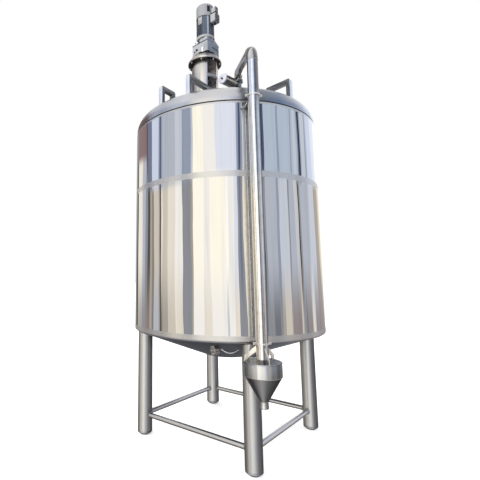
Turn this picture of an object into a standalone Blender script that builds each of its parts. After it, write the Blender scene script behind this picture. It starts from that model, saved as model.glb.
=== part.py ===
"""Vertical storage tank on four legs, with a top mixer drive and an overflow line.

Metres, +Z up. The origin is on the floor, under the middle of the tank's bounding box.
One leg stands at the front (-Y), with the overflow line and its drain funnel before it.
"""

import math

import bmesh
import bpy
from mathutils import Matrix, Vector

# Small gap between pieces that touch.
GAP = 0.0003

# Tank body. The axis stands a little behind the origin, because the drain funnel reaches forward.
SHELL_RADIUS = 0.775
SHELL_WALL = 0.005
SHELL_BOTTOM = 0.818
SHELL_TOP = 2.482
BOTTOM_KNUCKLE = 0.018
HEAD_RADIUS = SHELL_RADIUS - 0.002
HEAD_SKIRT = 0.020
HEAD_KNUCKLE = 0.125
HEAD_CROWN = 1.500
CONE_FLAT_RADIUS = 0.185
CONE_FLAT_HEIGHT = 0.612

# Bolted side port under the cone, and the small bent tube beside it.
PORT_AZIMUTH = -19.0
PORT_CIRCLE = 0.610
PORT_HEIGHT = 0.749
PORT_FACING = -76.0
PORT_RADIUS = 0.034
PORT_LENGTH = 0.028
PORT_FLANGE_RADIUS = 0.036
PORT_FLANGE_THICKNESS = 0.010
SMALL_TUBE_RADIUS = 0.006
SMALL_TUBE_CIRCLE = 0.530
SMALL_TUBE_AZIMUTHS = (-18.5, -3.0)
SMALL_TUBE_DROP = 0.022

# Legs, tie bars and feet.
LEG_CIRCLE = 0.687
LEG_RADIUS = 0.059
FOOT_HEIGHT = 0.028
FOOT_TIP_RADIUS = 0.036
TIE_RADIUS = 0.019
TIE_HEIGHT = 0.150

# Overflow line: it leaves the crown beside the mixer, crosses the rim and runs down the front.
PIPE_RADIUS = 0.03805
PIPE_WALL = 0.002
RIM_BEND_RADIUS = 0.114
INNER_BEND_RADIUS = 0.060
DROP_STAND_OFF = 0.878
DROP_AZIMUTH = 1.2
DROP_BOTTOM = 0.700
RIM_CORNER_HEIGHT = 2.797
NOZZLE_X = 0.158
NOZZLE_Y = 0.0
INNER_CORNER_HEIGHT = 3.125
VALVE_RADIUS = 0.040
VALVE_NECK_RADIUS = 0.026
VALVE_HEIGHT = 0.080
ACTUATOR_AZIMUTH = -54.0
ACTUATOR_RADIUS = 0.046
ACTUATOR_START = 0.068
ACTUATOR_END = 0.225
CLAMP_HEIGHTS = (("pipe_clamp_upper", 2.462), ("pipe_clamp_lower", 0.840))

# Drain funnel under the open end of the overflow line.
FUNNEL_RADIUS = 0.116
FUNNEL_WALL = 0.003
FUNNEL_TOP = 0.735
FUNNEL_CONE_TOP = 0.652
FUNNEL_CONE_BOTTOM = 0.501
FUNNEL_BOTTOM = 0.461
SPOUT_RADIUS = 0.027
# Each strap is a thin upright plate: a tab on the pipe, an arm that slopes out, and a tongue in the cup.
STRAP_THICKNESS = 0.004
STRAP_TAB_TOP = 0.825
STRAP_TAB_BOTTOM = 0.785
STRAP_SHOULDER = 0.762
STRAP_KNEE = 0.754
STRAP_END = 0.712
STRAP_TONGUE_REACH = 0.080
FRONT_STRAP_AZIMUTH = 2.3

# Bent bars on the crown.
HANDLE_AZIMUTH = 36.0
HANDLE_CIRCLE = 0.690
HANDLE_BAR = 0.036
HANDLE_TOP = 2.770
HANDLE_REACH = 0.205
GUIDE_AZIMUTH = -45.0
GUIDE_SPREAD = 11.5
LONG_GUIDE_REACH = 0.330
SHORT_GUIDE_REACH = 0.150

# Mixer drive. Its gearbox and boxes are set square to one azimuth, its windows to another.
DRIVE_AZIMUTH = 42.0
WINDOW_AZIMUTH = 29.0
MIXER_X = -0.154
MIXER_Y = 0.0
# The gearbox and motor stand a little to the right of the shaft.
DRIVE_X = -0.144
PAD_RADIUS = 0.145
PAD_TOP = 2.845
LANTERN_RADIUS = 0.121
LANTERN_WALL = 0.010
LANTERN_TOP = 3.188
LANTERN_BASE_TOP = 2.905
BEARING_BOTTOM = 3.022
BEARING_TOP = 3.050
# Half the angle that each window of the lantern takes, as seen from its axis.
WINDOW_HALF_ANGLE = 28.0
FLANGE_RADIUS = 0.154
FLANGE_HUB_RADIUS = 0.120
FLANGE_TOP = 3.260
SHAFT_RADIUS = 0.020
COUPLING_RADIUS = 0.042
COUPLING = (2.930, 2.990)
GEARBOX_WIDTH = 0.180
GEARBOX_SHOULDER = 3.377
GEARBOX_TOP = 3.411
# The upper half stands on one side only; its far corner slopes down by this much, over this length.
HEAD_SLOPE = (0.057, 0.029)
ADAPTER_RADIUS = 0.070
MOTOR_RADIUS = 0.0835
MOTOR_FLANGE_BOTTOM = 3.433
MOTOR_BOTTOM = 3.459
MOTOR_TOP = 3.650
COWL_TOP = 3.780
# Boxes on the motor's side: name, width, reach from the motor's axis, and their lower and upper ends.
BOXES = (("terminal_box", 0.067, 0.143, 3.572, 3.650), ("cowl_box", 0.040, 0.137, 3.670, 3.722))

ROUND = 72
TUBE = 24
SMALL = 24

# How far the tank's axis stands behind the origin: half of what the funnel reaches past the shell.
AXIS_Y = (DROP_STAND_OFF * math.cos(math.radians(DROP_AZIMUTH)) + FUNNEL_RADIUS - SHELL_RADIUS) / 2


def clear_scene():
    """Remove every object that the file opens with."""
    for thing in list(bpy.data.objects):
        bpy.data.objects.remove(thing)


def material(name, colour, roughness, metallic):
    """Make a plain Principled material."""
    made = bpy.data.materials.new(name)
    made.use_nodes = True
    shader = made.node_tree.nodes["Principled BSDF"]
    shader.inputs["Base Color"].default_value = (*colour, 1.0)
    shader.inputs["Roughness"].default_value = roughness
    shader.inputs["Metallic"].default_value = metallic
    return made


def direction(azimuth):
    """Unit vector in plan at an azimuth in degrees: 0 is the front, 90 the right."""
    turn = math.radians(azimuth)
    return Vector((math.sin(turn), -math.cos(turn), 0.0))


def finish(bm, name, look, place=(0.0, 0.0, 0.0), turn=0.0):
    """Close a bmesh into a named, smooth-shaded object on the tank's axis."""
    bmesh.ops.remove_doubles(bm, verts=bm.verts, dist=0.00001)
    bmesh.ops.recalc_face_normals(bm, faces=bm.faces)
    mesh = bpy.data.meshes.new(name)
    bm.to_mesh(mesh)
    bm.free()
    mesh.materials.append(look)
    mesh.shade_smooth()
    mesh.set_sharp_from_angle(angle=math.radians(35.0))
    made = bpy.data.objects.new(name, mesh)
    made.location = (place[0], place[1] + AXIS_Y, place[2])
    made.rotation_euler = (0.0, 0.0, turn)
    bpy.context.collection.objects.link(made)
    return made


def turned(name, look, profile, steps, place=(0.0, 0.0, 0.0), ring=False):
    """Spin a profile of (radius, height) about the vertical; a ring's profile is a closed loop."""
    bm = bmesh.new()
    points = [bm.verts.new((radius, 0.0, height)) for radius, height in profile]
    edges = [bm.edges.new(pair) for pair in zip(points, points[1:])]
    if ring:
        edges.append(bm.edges.new((points[-1], points[0])))
    bmesh.ops.spin(bm, geom=points + edges, cent=(0, 0, 0), axis=(0, 0, 1), angle=math.tau, steps=steps)
    return finish(bm, name, look, place)


def arc(centre, radius, start, end, steps):
    """Points of (radius, height) on an arc, with its angles in degrees from the outward level."""
    points = []
    for step in range(steps + 1):
        angle = math.radians(start + (end - start) * step / steps)
        points.append((centre[0] + radius * math.cos(angle), centre[1] + radius * math.sin(angle)))
    return points


def tube(name, look, route, outer, inner, steps, ends=None):
    """Sweep a round tube along a route; an inner radius of 0 makes a solid bar.

    The ends are the exact directions of a bend at its first and last point.
    """
    bm = bmesh.new()
    rings = []
    side = None
    last = len(route) - 1
    for index, point in enumerate(route):
        ahead = route[min(index + 1, last)] - route[max(index - 1, 0)]
        if ends and index in (0, last):
            ahead = ends[0] if index == 0 else ends[1]
        ahead = ahead.normalized()
        if side is None:
            side = ahead.orthogonal().normalized()
        side = (side - ahead * side.dot(ahead)).normalized()
        other = ahead.cross(side)
        radii = (outer, inner) if inner else (outer,)
        rings.append([[bm.verts.new(point + (side * math.cos(math.tau * k / steps)
                                             + other * math.sin(math.tau * k / steps)) * radius)
                       for k in range(steps)] for radius in radii])
    for first, second in zip(rings, rings[1:]):
        for lower, upper in zip(first, second):
            for k in range(steps):
                bm.faces.new((lower[k], lower[k - 1], upper[k - 1], upper[k]))
    for end in (rings[0], rings[-1]):
        if inner:
            for k in range(steps):
                bm.faces.new((end[0][k], end[0][k - 1], end[1][k - 1], end[1][k]))
        else:
            bm.faces.new(end[0])
    return finish(bm, name, look)


def block(name, look, low, high, place=(0.0, 0.0, 0.0), turn=0.0, bevel=0.0):
    """A box between two corners, turned about the vertical, with its upright edges cut back."""
    bm = bmesh.new()
    bmesh.ops.create_cube(bm, size=1.0)
    size = [b - a for a, b in zip(low, high)]
    middle = [(a + b) / 2 for a, b in zip(low, high)]
    bmesh.ops.transform(bm, verts=bm.verts, matrix=Matrix.LocRotScale(middle, None, size))
    if bevel:
        upright = [edge for edge in bm.edges if abs(edge.verts[0].co.z - edge.verts[1].co.z) > 0.001]
        bmesh.ops.bevel(bm, geom=upright, offset=bevel, segments=1, affect="EDGES")
    return finish(bm, name, look, place, math.radians(turn))


def slab(name, look, outline, width, azimuth, centre=(0.0, 0.0)):
    """Extrude an upright outline of (reach, height) sideways; reach runs out along an azimuth."""
    bm = bmesh.new()
    out = direction(azimuth)
    across = Vector((-out.y, out.x, 0.0))
    start = Vector((centre[0], centre[1], 0.0))
    near = [bm.verts.new(start + out * reach - across * width / 2 + Vector((0, 0, height)))
            for reach, height in outline]
    face = bm.faces.new(near)
    grown = bmesh.ops.extrude_face_region(bm, geom=[face])
    moved = [part for part in grown["geom"] if isinstance(part, bmesh.types.BMVert)]
    bmesh.ops.translate(bm, verts=moved, vec=across * width)
    return finish(bm, name, look)


def combine(target, tool, operation):
    """Join a tool to a target, or cut it away, and keep the result as the target's own mesh."""
    step = target.modifiers.new(operation.lower(), "BOOLEAN")
    step.operation = operation
    step.object = tool
    bpy.context.view_layer.update()
    graph = bpy.context.evaluated_depsgraph_get()
    result = bpy.data.meshes.new_from_object(target.evaluated_get(graph))
    target.modifiers.clear()
    target.data = result
    bpy.data.objects.remove(tool)
    bm = bmesh.new()
    bm.from_mesh(result)
    bmesh.ops.remove_doubles(bm, verts=bm.verts, dist=0.000002)
    bmesh.ops.dissolve_degenerate(bm, edges=bm.edges, dist=0.000002)
    bm.to_mesh(result)
    bm.free()
    return target


def head_profile(offset):
    """Outside of the dished head from its lower edge to the axis, moved in by an offset."""
    knuckle = (HEAD_RADIUS - HEAD_KNUCKLE, SHELL_TOP + HEAD_SKIRT)
    between = HEAD_CROWN - HEAD_KNUCKLE
    crown = (0.0, knuckle[1] - math.sqrt(between ** 2 - knuckle[0] ** 2))
    meet = math.degrees(math.acos(knuckle[0] / between))
    points = [(HEAD_RADIUS - offset, SHELL_TOP + GAP)]
    points += arc(knuckle, HEAD_KNUCKLE - offset, 0.0, meet, 4)
    points += arc(crown, HEAD_CROWN - offset, meet, 90.0, 4)[1:]
    points[-1] = (0.0, points[-1][1])
    return points


def under_profile(offset):
    """Outside of the shell's lower edge and the cone, from the wall in to the axis, moved down."""
    corner = (SHELL_RADIUS - BOTTOM_KNUCKLE, SHELL_BOTTOM + BOTTOM_KNUCKLE)
    points = arc(corner, BOTTOM_KNUCKLE + offset, 0.0, -90.0, 5)
    points += [(CONE_FLAT_RADIUS, CONE_FLAT_HEIGHT - offset), (0.0, CONE_FLAT_HEIGHT - offset)]
    return points


def head_space(look):
    """Cutter that fills the space under the crown, so that fittings end on its surface."""
    top = head_profile(-GAP)
    return turned("head_space", look, [(0.0, SHELL_TOP - 0.2), (HEAD_RADIUS, SHELL_TOP - 0.2)] + top, ROUND)


def seat_on_head(piece, look):
    """Cut the foot of a fitting to the curve of the crown."""
    return combine(piece, head_space(look), "DIFFERENCE")


def cone_height(radius):
    """Height of the cone's underside at a distance from the axis."""
    share = (radius - CONE_FLAT_RADIUS) / (SHELL_RADIUS - BOTTOM_KNUCKLE - CONE_FLAT_RADIUS)
    return CONE_FLAT_HEIGHT + share * (SHELL_BOTTOM - CONE_FLAT_HEIGHT)


def seat_under_tank(piece, look):
    """Cut the top of a piece to the curve of the shell's lower edge and the cone."""
    lid = SHELL_BOTTOM + 0.2
    space = [(0.0, lid), (SHELL_RADIUS + GAP, lid)] + under_profile(GAP)
    return combine(piece, turned("under_space", look, space, ROUND), "DIFFERENCE")


def build_shell(polished, brushed):
    """Jacket, dished head and coned bottom."""
    corner = (SHELL_RADIUS - BOTTOM_KNUCKLE, SHELL_BOTTOM + BOTTOM_KNUCKLE)
    outside = [(SHELL_RADIUS, SHELL_TOP)] + arc(corner, BOTTOM_KNUCKLE, 0.0, -90.0, 5)
    inside = arc(corner, BOTTOM_KNUCKLE - SHELL_WALL, -90.0, 0.0, 5)
    inside.append((SHELL_RADIUS - SHELL_WALL, SHELL_TOP))
    turned("jacket_shell", polished, outside + inside, ROUND, ring=True)
    head = list(reversed(head_profile(SHELL_WALL))) + head_profile(0.0)
    turned("top_head", brushed, head, ROUND)
    rim = corner[0] - GAP
    flat = CONE_FLAT_HEIGHT
    cone = [(0.0, flat), (CONE_FLAT_RADIUS, flat), (rim, SHELL_BOTTOM), (rim, SHELL_BOTTOM + SHELL_WALL),
            (CONE_FLAT_RADIUS, flat + SHELL_WALL), (0.0, flat + SHELL_WALL)]
    turned("bottom_cone", brushed, cone, ROUND)


def build_legs(brushed):
    """Four round legs with tapered feet, and the tie bars between them."""
    names = (("front", 0.0), ("right", 90.0), ("back", 180.0), ("left", 270.0))
    places = {}
    for name, azimuth in names:
        place = direction(azimuth) * LEG_CIRCLE
        places[name] = place
        height = SHELL_BOTTOM + 0.02
        post = [(0.0, FOOT_HEIGHT + GAP), (LEG_RADIUS, FOOT_HEIGHT + GAP), (LEG_RADIUS, height),
                (0.0, height)]
        seat_under_tank(turned(f"leg_{name}", brushed, post, TUBE, place), brushed)
        foot = [(0.0, 0.0), (FOOT_TIP_RADIUS, 0.0), (LEG_RADIUS - 0.005, FOOT_HEIGHT * 0.55),
                (LEG_RADIUS, FOOT_HEIGHT - 0.006), (LEG_RADIUS, FOOT_HEIGHT), (0.0, FOOT_HEIGHT)]
        turned(f"foot_{name}", brushed, foot, TUBE, place)
    order = [name for name, _ in names]
    for first, second in zip(order, order[1:] + order[:1]):
        start = places[first]
        end = places[second]
        along = (end - start).normalized()
        lift = Vector((0.0, 0.0, TIE_HEIGHT))
        inset = LEG_RADIUS - 0.002
        bar = tube(f"tie_bar_{first}_{second}", brushed,
                   [start + along * inset + lift, end - along * inset + lift], TIE_RADIUS, 0.0, 16)
        for place in (start, end):
            post = [(0.0, 0.05), (LEG_RADIUS + GAP, 0.05), (LEG_RADIUS + GAP, 0.25), (0.0, 0.25)]
            combine(bar, turned("leg_space", brushed, post, TUBE, place), "DIFFERENCE")


def build_port(brushed):
    """Side port under the cone with its bolted cover, and a small tube that dips below the cone."""
    out = direction(PORT_FACING)
    start = direction(PORT_AZIMUTH) * PORT_CIRCLE + Vector((0.0, 0.0, PORT_HEIGHT))
    end = start + out * PORT_LENGTH
    seat_under_tank(tube("port_barrel", brushed, [start, end], PORT_RADIUS, 0.0, TUBE), brushed)
    cover = [end + out * GAP, end + out * (GAP + PORT_FLANGE_THICKNESS)]
    seat_under_tank(tube("port_cover", brushed, cover, PORT_FLANGE_RADIUS, 0.0, TUBE), brushed)
    first, last = SMALL_TUBE_AZIMUTHS
    route = []
    for step in range(9):
        share = step / 8
        dip = (SMALL_TUBE_DROP + 0.010) * math.sin(math.pi * share)
        height = cone_height(SMALL_TUBE_CIRCLE) + 0.010 - dip
        point = direction(first + (last - first) * share) * SMALL_TUBE_CIRCLE
        route.append(point + Vector((0.0, 0.0, height)))
    seat_under_tank(tube("small_bent_tube", brushed, route, SMALL_TUBE_RADIUS, 0.0, 12), brushed)


def bend_points(corner, arrive, leave, radius, steps):
    """Points on the arc that rounds a corner between two directions."""
    turn = arrive.angle(leave)
    reach = radius * math.tan(turn / 2)
    start = corner - arrive * reach
    inward = (leave - arrive * leave.dot(arrive)).normalized()
    centre = start + inward * radius
    angles = [turn * step / steps for step in range(steps + 1)]
    return [centre - inward * radius * math.cos(angle) + arrive * radius * math.sin(angle)
            for angle in angles]


def build_line(polished, brushed, dark):
    """Overflow line with its valve, actuator, clamps and drain funnel."""
    drop = direction(DROP_AZIMUTH) * DROP_STAND_OFF
    nozzle = Vector((NOZZLE_X, NOZZLE_Y, 0.0))
    up = Vector((0.0, 0.0, 1.0))
    rim_corner = drop + up * RIM_CORNER_HEIGHT
    inner_corner = nozzle + up * INNER_CORNER_HEIGHT
    run = (inner_corner - rim_corner).normalized()
    rim_bend = bend_points(rim_corner, up, run, RIM_BEND_RADIUS, 6)
    inner_bend = bend_points(inner_corner, run, -up, INNER_BEND_RADIUS, 7)
    bore = PIPE_RADIUS - PIPE_WALL
    tube("drop_pipe", polished, [drop + up * DROP_BOTTOM, rim_bend[0] - up * GAP], PIPE_RADIUS, bore, TUBE)
    tube("rim_bend", polished, rim_bend, PIPE_RADIUS, bore, TUBE, (up, run))
    tube("crossover_pipe", polished, [rim_bend[-1] + run * GAP, inner_bend[0] - run * GAP],
         PIPE_RADIUS, bore, TUBE)
    tube("inner_bend", polished, inner_bend, PIPE_RADIUS, bore, TUBE, (run, -up))
    build_valve(nozzle, inner_bend[-1].z, brushed, polished, dark)
    for name, height in CLAMP_HEIGHTS:
        build_clamp(name, height, brushed)
    build_funnel(drop, brushed)


def build_valve(nozzle, bend_end, brushed, polished, dark):
    """Nozzle on the crown, valve with its clamp rings, and the actuator beside it."""
    high = bend_end - GAP
    low = high - VALVE_HEIGHT
    middle = (low + high) / 2
    neck = [(0.0, 2.70), (0.0255, 2.70), (0.0255, low - 0.016), (VALVE_RADIUS, low - 0.008),
            (VALVE_RADIUS, low - GAP), (0.0, low - GAP)]
    seat_on_head(turned("tank_nozzle", brushed, neck, SMALL, nozzle), brushed)
    body = [(0.0, low), (VALVE_RADIUS, low), (VALVE_RADIUS, low + 0.012), (VALVE_NECK_RADIUS, low + 0.016),
            (VALVE_NECK_RADIUS, high - 0.016), (VALVE_RADIUS, high - 0.012), (VALVE_RADIUS, high),
            (0.0, high)]
    turned("valve_body", dark, body, SMALL, nozzle)
    out = direction(ACTUATOR_AZIMUTH)
    centre = nozzle + Vector((0.0, 0.0, middle))
    tube("valve_actuator", polished, [centre + out * ACTUATOR_START, centre + out * ACTUATOR_END],
         ACTUATOR_RADIUS, 0.0, TUBE)
    near = VALVE_NECK_RADIUS + GAP
    far = ACTUATOR_START - GAP
    yoke = [(near, middle - 0.012), (far, middle - 0.030), (far, middle + 0.030), (near, middle + 0.012)]
    slab("actuator_yoke", dark, yoke, 0.020, ACTUATOR_AZIMUTH, (nozzle.x, nozzle.y))


def build_clamp(name, height, brushed):
    """Ring round the pipe with two lugs, on a stand-off from the shell."""
    half = 0.005
    ear = 0.008
    drop = direction(DROP_AZIMUTH) * DROP_STAND_OFF
    ring = [(0.0, height - half), (PIPE_RADIUS + 0.005, height - half), (PIPE_RADIUS + 0.005, height + half),
            (0.0, height + half)]
    clamp = turned(name, brushed, ring, TUBE, drop)
    inner = SHELL_RADIUS - 0.01
    stem = [(inner, height - half * 0.8), (DROP_STAND_OFF - 0.032, height - half * 0.8),
            (DROP_STAND_OFF - 0.032, height + half * 0.8), (inner, height + half * 0.8)]
    combine(clamp, slab("stem", brushed, stem, 0.030, DROP_AZIMUTH), "UNION")
    ears = [(DROP_STAND_OFF - 0.005, height - ear), (DROP_STAND_OFF + 0.005, height - ear),
            (DROP_STAND_OFF + 0.005, height + ear), (DROP_STAND_OFF - 0.005, height + ear)]
    combine(clamp, slab("ears", brushed, ears, 0.116, DROP_AZIMUTH), "UNION")
    bore = [(0.0, height - 0.05), (PIPE_RADIUS + GAP, height - 0.05), (PIPE_RADIUS + GAP, height + 0.05),
            (0.0, height + 0.05)]
    combine(clamp, turned("bore", brushed, bore, TUBE, drop), "DIFFERENCE")
    wall = [(0.0, height - 0.05), (SHELL_RADIUS + GAP, height - 0.05), (SHELL_RADIUS + GAP, height + 0.05),
            (0.0, height + 0.05)]
    combine(clamp, turned("wall", brushed, wall, ROUND), "DIFFERENCE")


def build_funnel(drop, brushed):
    """Drain funnel and the three upright plates that hang it from the pipe."""
    sections = (("funnel_cup", (FUNNEL_RADIUS, FUNNEL_TOP), (FUNNEL_RADIUS, FUNNEL_CONE_TOP + GAP)),
                ("funnel_cone", (FUNNEL_RADIUS, FUNNEL_CONE_TOP), (SPOUT_RADIUS, FUNNEL_CONE_BOTTOM + GAP)),
                ("funnel_spout", (SPOUT_RADIUS, FUNNEL_CONE_BOTTOM), (SPOUT_RADIUS, FUNNEL_BOTTOM)))
    for name, top, bottom in sections:
        inside = [(bottom[0] - FUNNEL_WALL, bottom[1]), (top[0] - FUNNEL_WALL, top[1])]
        turned(name, brushed, [top, bottom] + inside, TUBE, drop, ring=True)
    near = PIPE_RADIUS + GAP
    far = FUNNEL_RADIUS - FUNNEL_WALL - 2 * GAP
    outline = [(near, STRAP_TAB_TOP), (near, STRAP_TAB_BOTTOM), (STRAP_TONGUE_REACH, STRAP_KNEE),
               (STRAP_TONGUE_REACH, STRAP_END), (far, STRAP_END), (far, STRAP_SHOULDER)]
    for name, turn in (("front", 0.0), ("right", 120.0), ("left", -120.3)):
        strap = slab(f"funnel_strap_{name}", brushed, outline, STRAP_THICKNESS, FRONT_STRAP_AZIMUTH + turn,
                     (drop.x, drop.y))
        wall = [(FUNNEL_RADIUS - FUNNEL_WALL - GAP, 0.6), (0.2, 0.6), (0.2, 0.9),
                (FUNNEL_RADIUS - FUNNEL_WALL - GAP, 0.9)]
        combine(strap, turned("funnel_space", brushed, wall, TUBE, drop, ring=True), "DIFFERENCE")


def build_handles(brushed):
    """Bent square bars on the crown: lifting handles, and a pair of parallel guide bars."""
    bar = HANDLE_BAR
    front = HANDLE_AZIMUTH
    rear = 180.0 - HANDLE_AZIMUTH
    spots = [("handle_front_right", front, front, HANDLE_REACH),
             ("handle_rear_right", rear, rear, HANDLE_REACH),
             ("handle_rear_left", -rear, -rear, HANDLE_REACH),
             ("guide_bar_long", GUIDE_AZIMUTH + GUIDE_SPREAD, GUIDE_AZIMUTH, LONG_GUIDE_REACH),
             ("guide_bar_short", GUIDE_AZIMUTH - GUIDE_SPREAD, GUIDE_AZIMUTH, SHORT_GUIDE_REACH)]
    for name, azimuth, facing, reach in spots:
        foot = direction(azimuth) * HANDLE_CIRCLE
        outline = [(bar / 2, 2.50), (bar / 2, HANDLE_TOP - 0.012), (bar / 2 - 0.012, HANDLE_TOP),
                   (-reach + 0.012, HANDLE_TOP), (-reach, HANDLE_TOP - 0.012), (-reach, 2.50),
                   (-reach + bar, 2.50), (-reach + bar, HANDLE_TOP - bar), (-bar / 2, HANDLE_TOP - bar),
                   (-bar / 2, 2.50)]
        handle = slab(name, brushed, outline, bar, facing, (foot.x, foot.y))
        seat_on_head(handle, brushed)


def sector(name, look, radii, heights, start, end, place):
    """Upright curved wall between two azimuths, with its inner and outer radius and its two heights."""
    bm = bmesh.new()
    steps = 16
    loops = []
    for step in range(steps + 1):
        out = direction(start + (end - start) * step / steps)
        corners = ((radii[0], heights[0]), (radii[1], heights[0]), (radii[1], heights[1]),
                   (radii[0], heights[1]))
        loops.append([bm.verts.new(out * radius + Vector((0.0, 0.0, height))) for radius, height in corners])
    for first, second in zip(loops, loops[1:]):
        for k in range(4):
            bm.faces.new((first[k], first[k - 1], second[k - 1], second[k]))
    for loop in (loops[0], loops[-1]):
        bm.faces.new(loop)
    return finish(bm, name, look, place)


def build_lantern(brushed, place):
    """Open housing between the pad and the drive: base ring, two storeys of walls, bearing plate."""
    bore = LANTERN_RADIUS - LANTERN_WALL
    low = PAD_TOP + GAP
    base = [(LANTERN_RADIUS, low), (LANTERN_RADIUS, LANTERN_BASE_TOP), (bore, LANTERN_BASE_TOP), (bore, low)]
    turned("lantern_base", brushed, base, 48, place, ring=True)
    plate = [(SHAFT_RADIUS + GAP, BEARING_BOTTOM), (LANTERN_RADIUS, BEARING_BOTTOM),
             (LANTERN_RADIUS, BEARING_TOP), (SHAFT_RADIUS + GAP, BEARING_TOP)]
    turned("lantern_bearing_plate", brushed, plate, 48, place, ring=True)
    storeys = (("lower", LANTERN_BASE_TOP + GAP, BEARING_BOTTOM - GAP),
               ("upper", BEARING_TOP + GAP, LANTERN_TOP))
    for storey, bottom, top in storeys:
        for side, turn in (("right", 0.0), ("left", 180.0)):
            start = WINDOW_AZIMUTH + turn + WINDOW_HALF_ANGLE
            end = WINDOW_AZIMUTH + turn + 180.0 - WINDOW_HALF_ANGLE
            sector(f"lantern_{storey}_wall_{side}", brushed, (bore, LANTERN_RADIUS), (bottom, top),
                   start, end, place)


def build_mixer(brushed, painted, dark_paint, dark):
    """Mixer drive: pad, windowed lantern, flange, gearbox and motor."""
    place = (MIXER_X, MIXER_Y, 0.0)
    pad = [(0.0, 2.70), (PAD_RADIUS, 2.70), (PAD_RADIUS, PAD_TOP), (0.0, PAD_TOP)]
    seat_on_head(turned("mixer_pad", brushed, pad, 48, place), brushed)
    build_lantern(brushed, place)
    shaft_foot = PAD_TOP + GAP
    shaft = [(0.0, shaft_foot), (SHAFT_RADIUS, shaft_foot), (SHAFT_RADIUS, COUPLING[0]),
             (COUPLING_RADIUS, COUPLING[0]), (COUPLING_RADIUS, COUPLING[1]), (SHAFT_RADIUS, COUPLING[1]),
             (SHAFT_RADIUS, LANTERN_TOP), (0.0, LANTERN_TOP)]
    turned("mixer_shaft", dark, shaft, SMALL, place)
    flange = [(0.0, LANTERN_TOP + GAP), (FLANGE_RADIUS, LANTERN_TOP + GAP),
              (FLANGE_RADIUS, LANTERN_TOP + 0.018), (FLANGE_HUB_RADIUS, FLANGE_TOP), (0.0, FLANGE_TOP)]
    turned("lantern_flange", brushed, flange, 48, place)
    build_drive(painted, dark_paint)


def build_drive(painted, dark_paint):
    """Gearbox and motor above the lantern's flange."""
    place = (DRIVE_X, MIXER_Y, 0.0)
    half = GEARBOX_WIDTH / 2
    block("gearbox", painted, (-half, -half, FLANGE_TOP + GAP), (half, half, GEARBOX_SHOULDER), place,
          DRIVE_AZIMUTH, 0.008)
    low = GEARBOX_SHOULDER + GAP
    outline = [(-half, low), (half, low), (half, GEARBOX_TOP), (HEAD_SLOPE[0] - half, GEARBOX_TOP),
               (-half, GEARBOX_TOP - HEAD_SLOPE[1])]
    middle = direction(DRIVE_AZIMUTH) * half / 2
    slab("gearbox_head", painted, outline, half, DRIVE_AZIMUTH - 90, (DRIVE_X + middle.x, MIXER_Y + middle.y))
    adapter = [(0.0, GEARBOX_TOP + GAP), (ADAPTER_RADIUS, GEARBOX_TOP + GAP),
               (ADAPTER_RADIUS, MOTOR_FLANGE_BOTTOM - GAP), (0.0, MOTOR_FLANGE_BOTTOM - GAP)]
    turned("motor_adapter", painted, adapter, 48, place)
    flange = [(0.0, MOTOR_FLANGE_BOTTOM), (MOTOR_RADIUS + 0.002, MOTOR_FLANGE_BOTTOM),
              (MOTOR_RADIUS + 0.002, MOTOR_BOTTOM), (0.0, MOTOR_BOTTOM)]
    turned("motor_flange", painted, flange, 48, place)
    body = [(0.0, MOTOR_BOTTOM + GAP), (MOTOR_RADIUS, MOTOR_BOTTOM + GAP), (MOTOR_RADIUS, MOTOR_TOP),
            (0.0, MOTOR_TOP)]
    turned("motor_body", dark_paint, body, 48, place)
    cowl = [(0.0, MOTOR_TOP + GAP), (MOTOR_RADIUS + 0.001, MOTOR_TOP + GAP),
            (MOTOR_RADIUS + 0.001, COWL_TOP - 0.030), (MOTOR_RADIUS - 0.008, COWL_TOP - 0.010),
            (MOTOR_RADIUS - 0.026, COWL_TOP), (0.0, COWL_TOP)]
    turned("fan_cowl", painted, cowl, 48, place)
    near = MOTOR_RADIUS + 0.001 + GAP
    for name, width, reach, low, high in BOXES:
        block(name, painted, (-width / 2, -reach, low), (width / 2, -near, high), place, DRIVE_AZIMUTH)


def main():
    """Build the whole tank."""
    clear_scene()
    polished = material("polished_steel", (0.78, 0.78, 0.79), 0.12, 1.0)
    brushed = material("brushed_steel", (0.62, 0.62, 0.62), 0.38, 1.0)
    dark = material("dark_fittings", (0.12, 0.13, 0.15), 0.45, 0.5)
    painted = material("grey_paint", (0.50, 0.52, 0.55), 0.45, 0.0)
    dark_paint = material("slate_paint", (0.07, 0.09, 0.13), 0.40, 0.0)
    build_shell(polished, brushed)
    build_legs(brushed)
    build_port(brushed)
    build_line(polished, brushed, dark)
    build_handles(brushed)
    build_mixer(brushed, painted, dark_paint, dark)


main()
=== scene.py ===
"""Looks of a vertical storage tank: polished jacket, satin head, tube legs, overflow line and mixer.

Smooth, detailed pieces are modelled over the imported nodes, each finish is a procedural material, and a plain
studio stands around the tank. Metres, +Z up, front at -Y; azimuths are in degrees, 0 in front and 90 at the right.
"""

import logging
import math
from collections.abc import Sequence
from dataclasses import dataclass
from enum import Enum
from typing import Any

import bpy
from mathutils import Matrix, Vector


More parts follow.
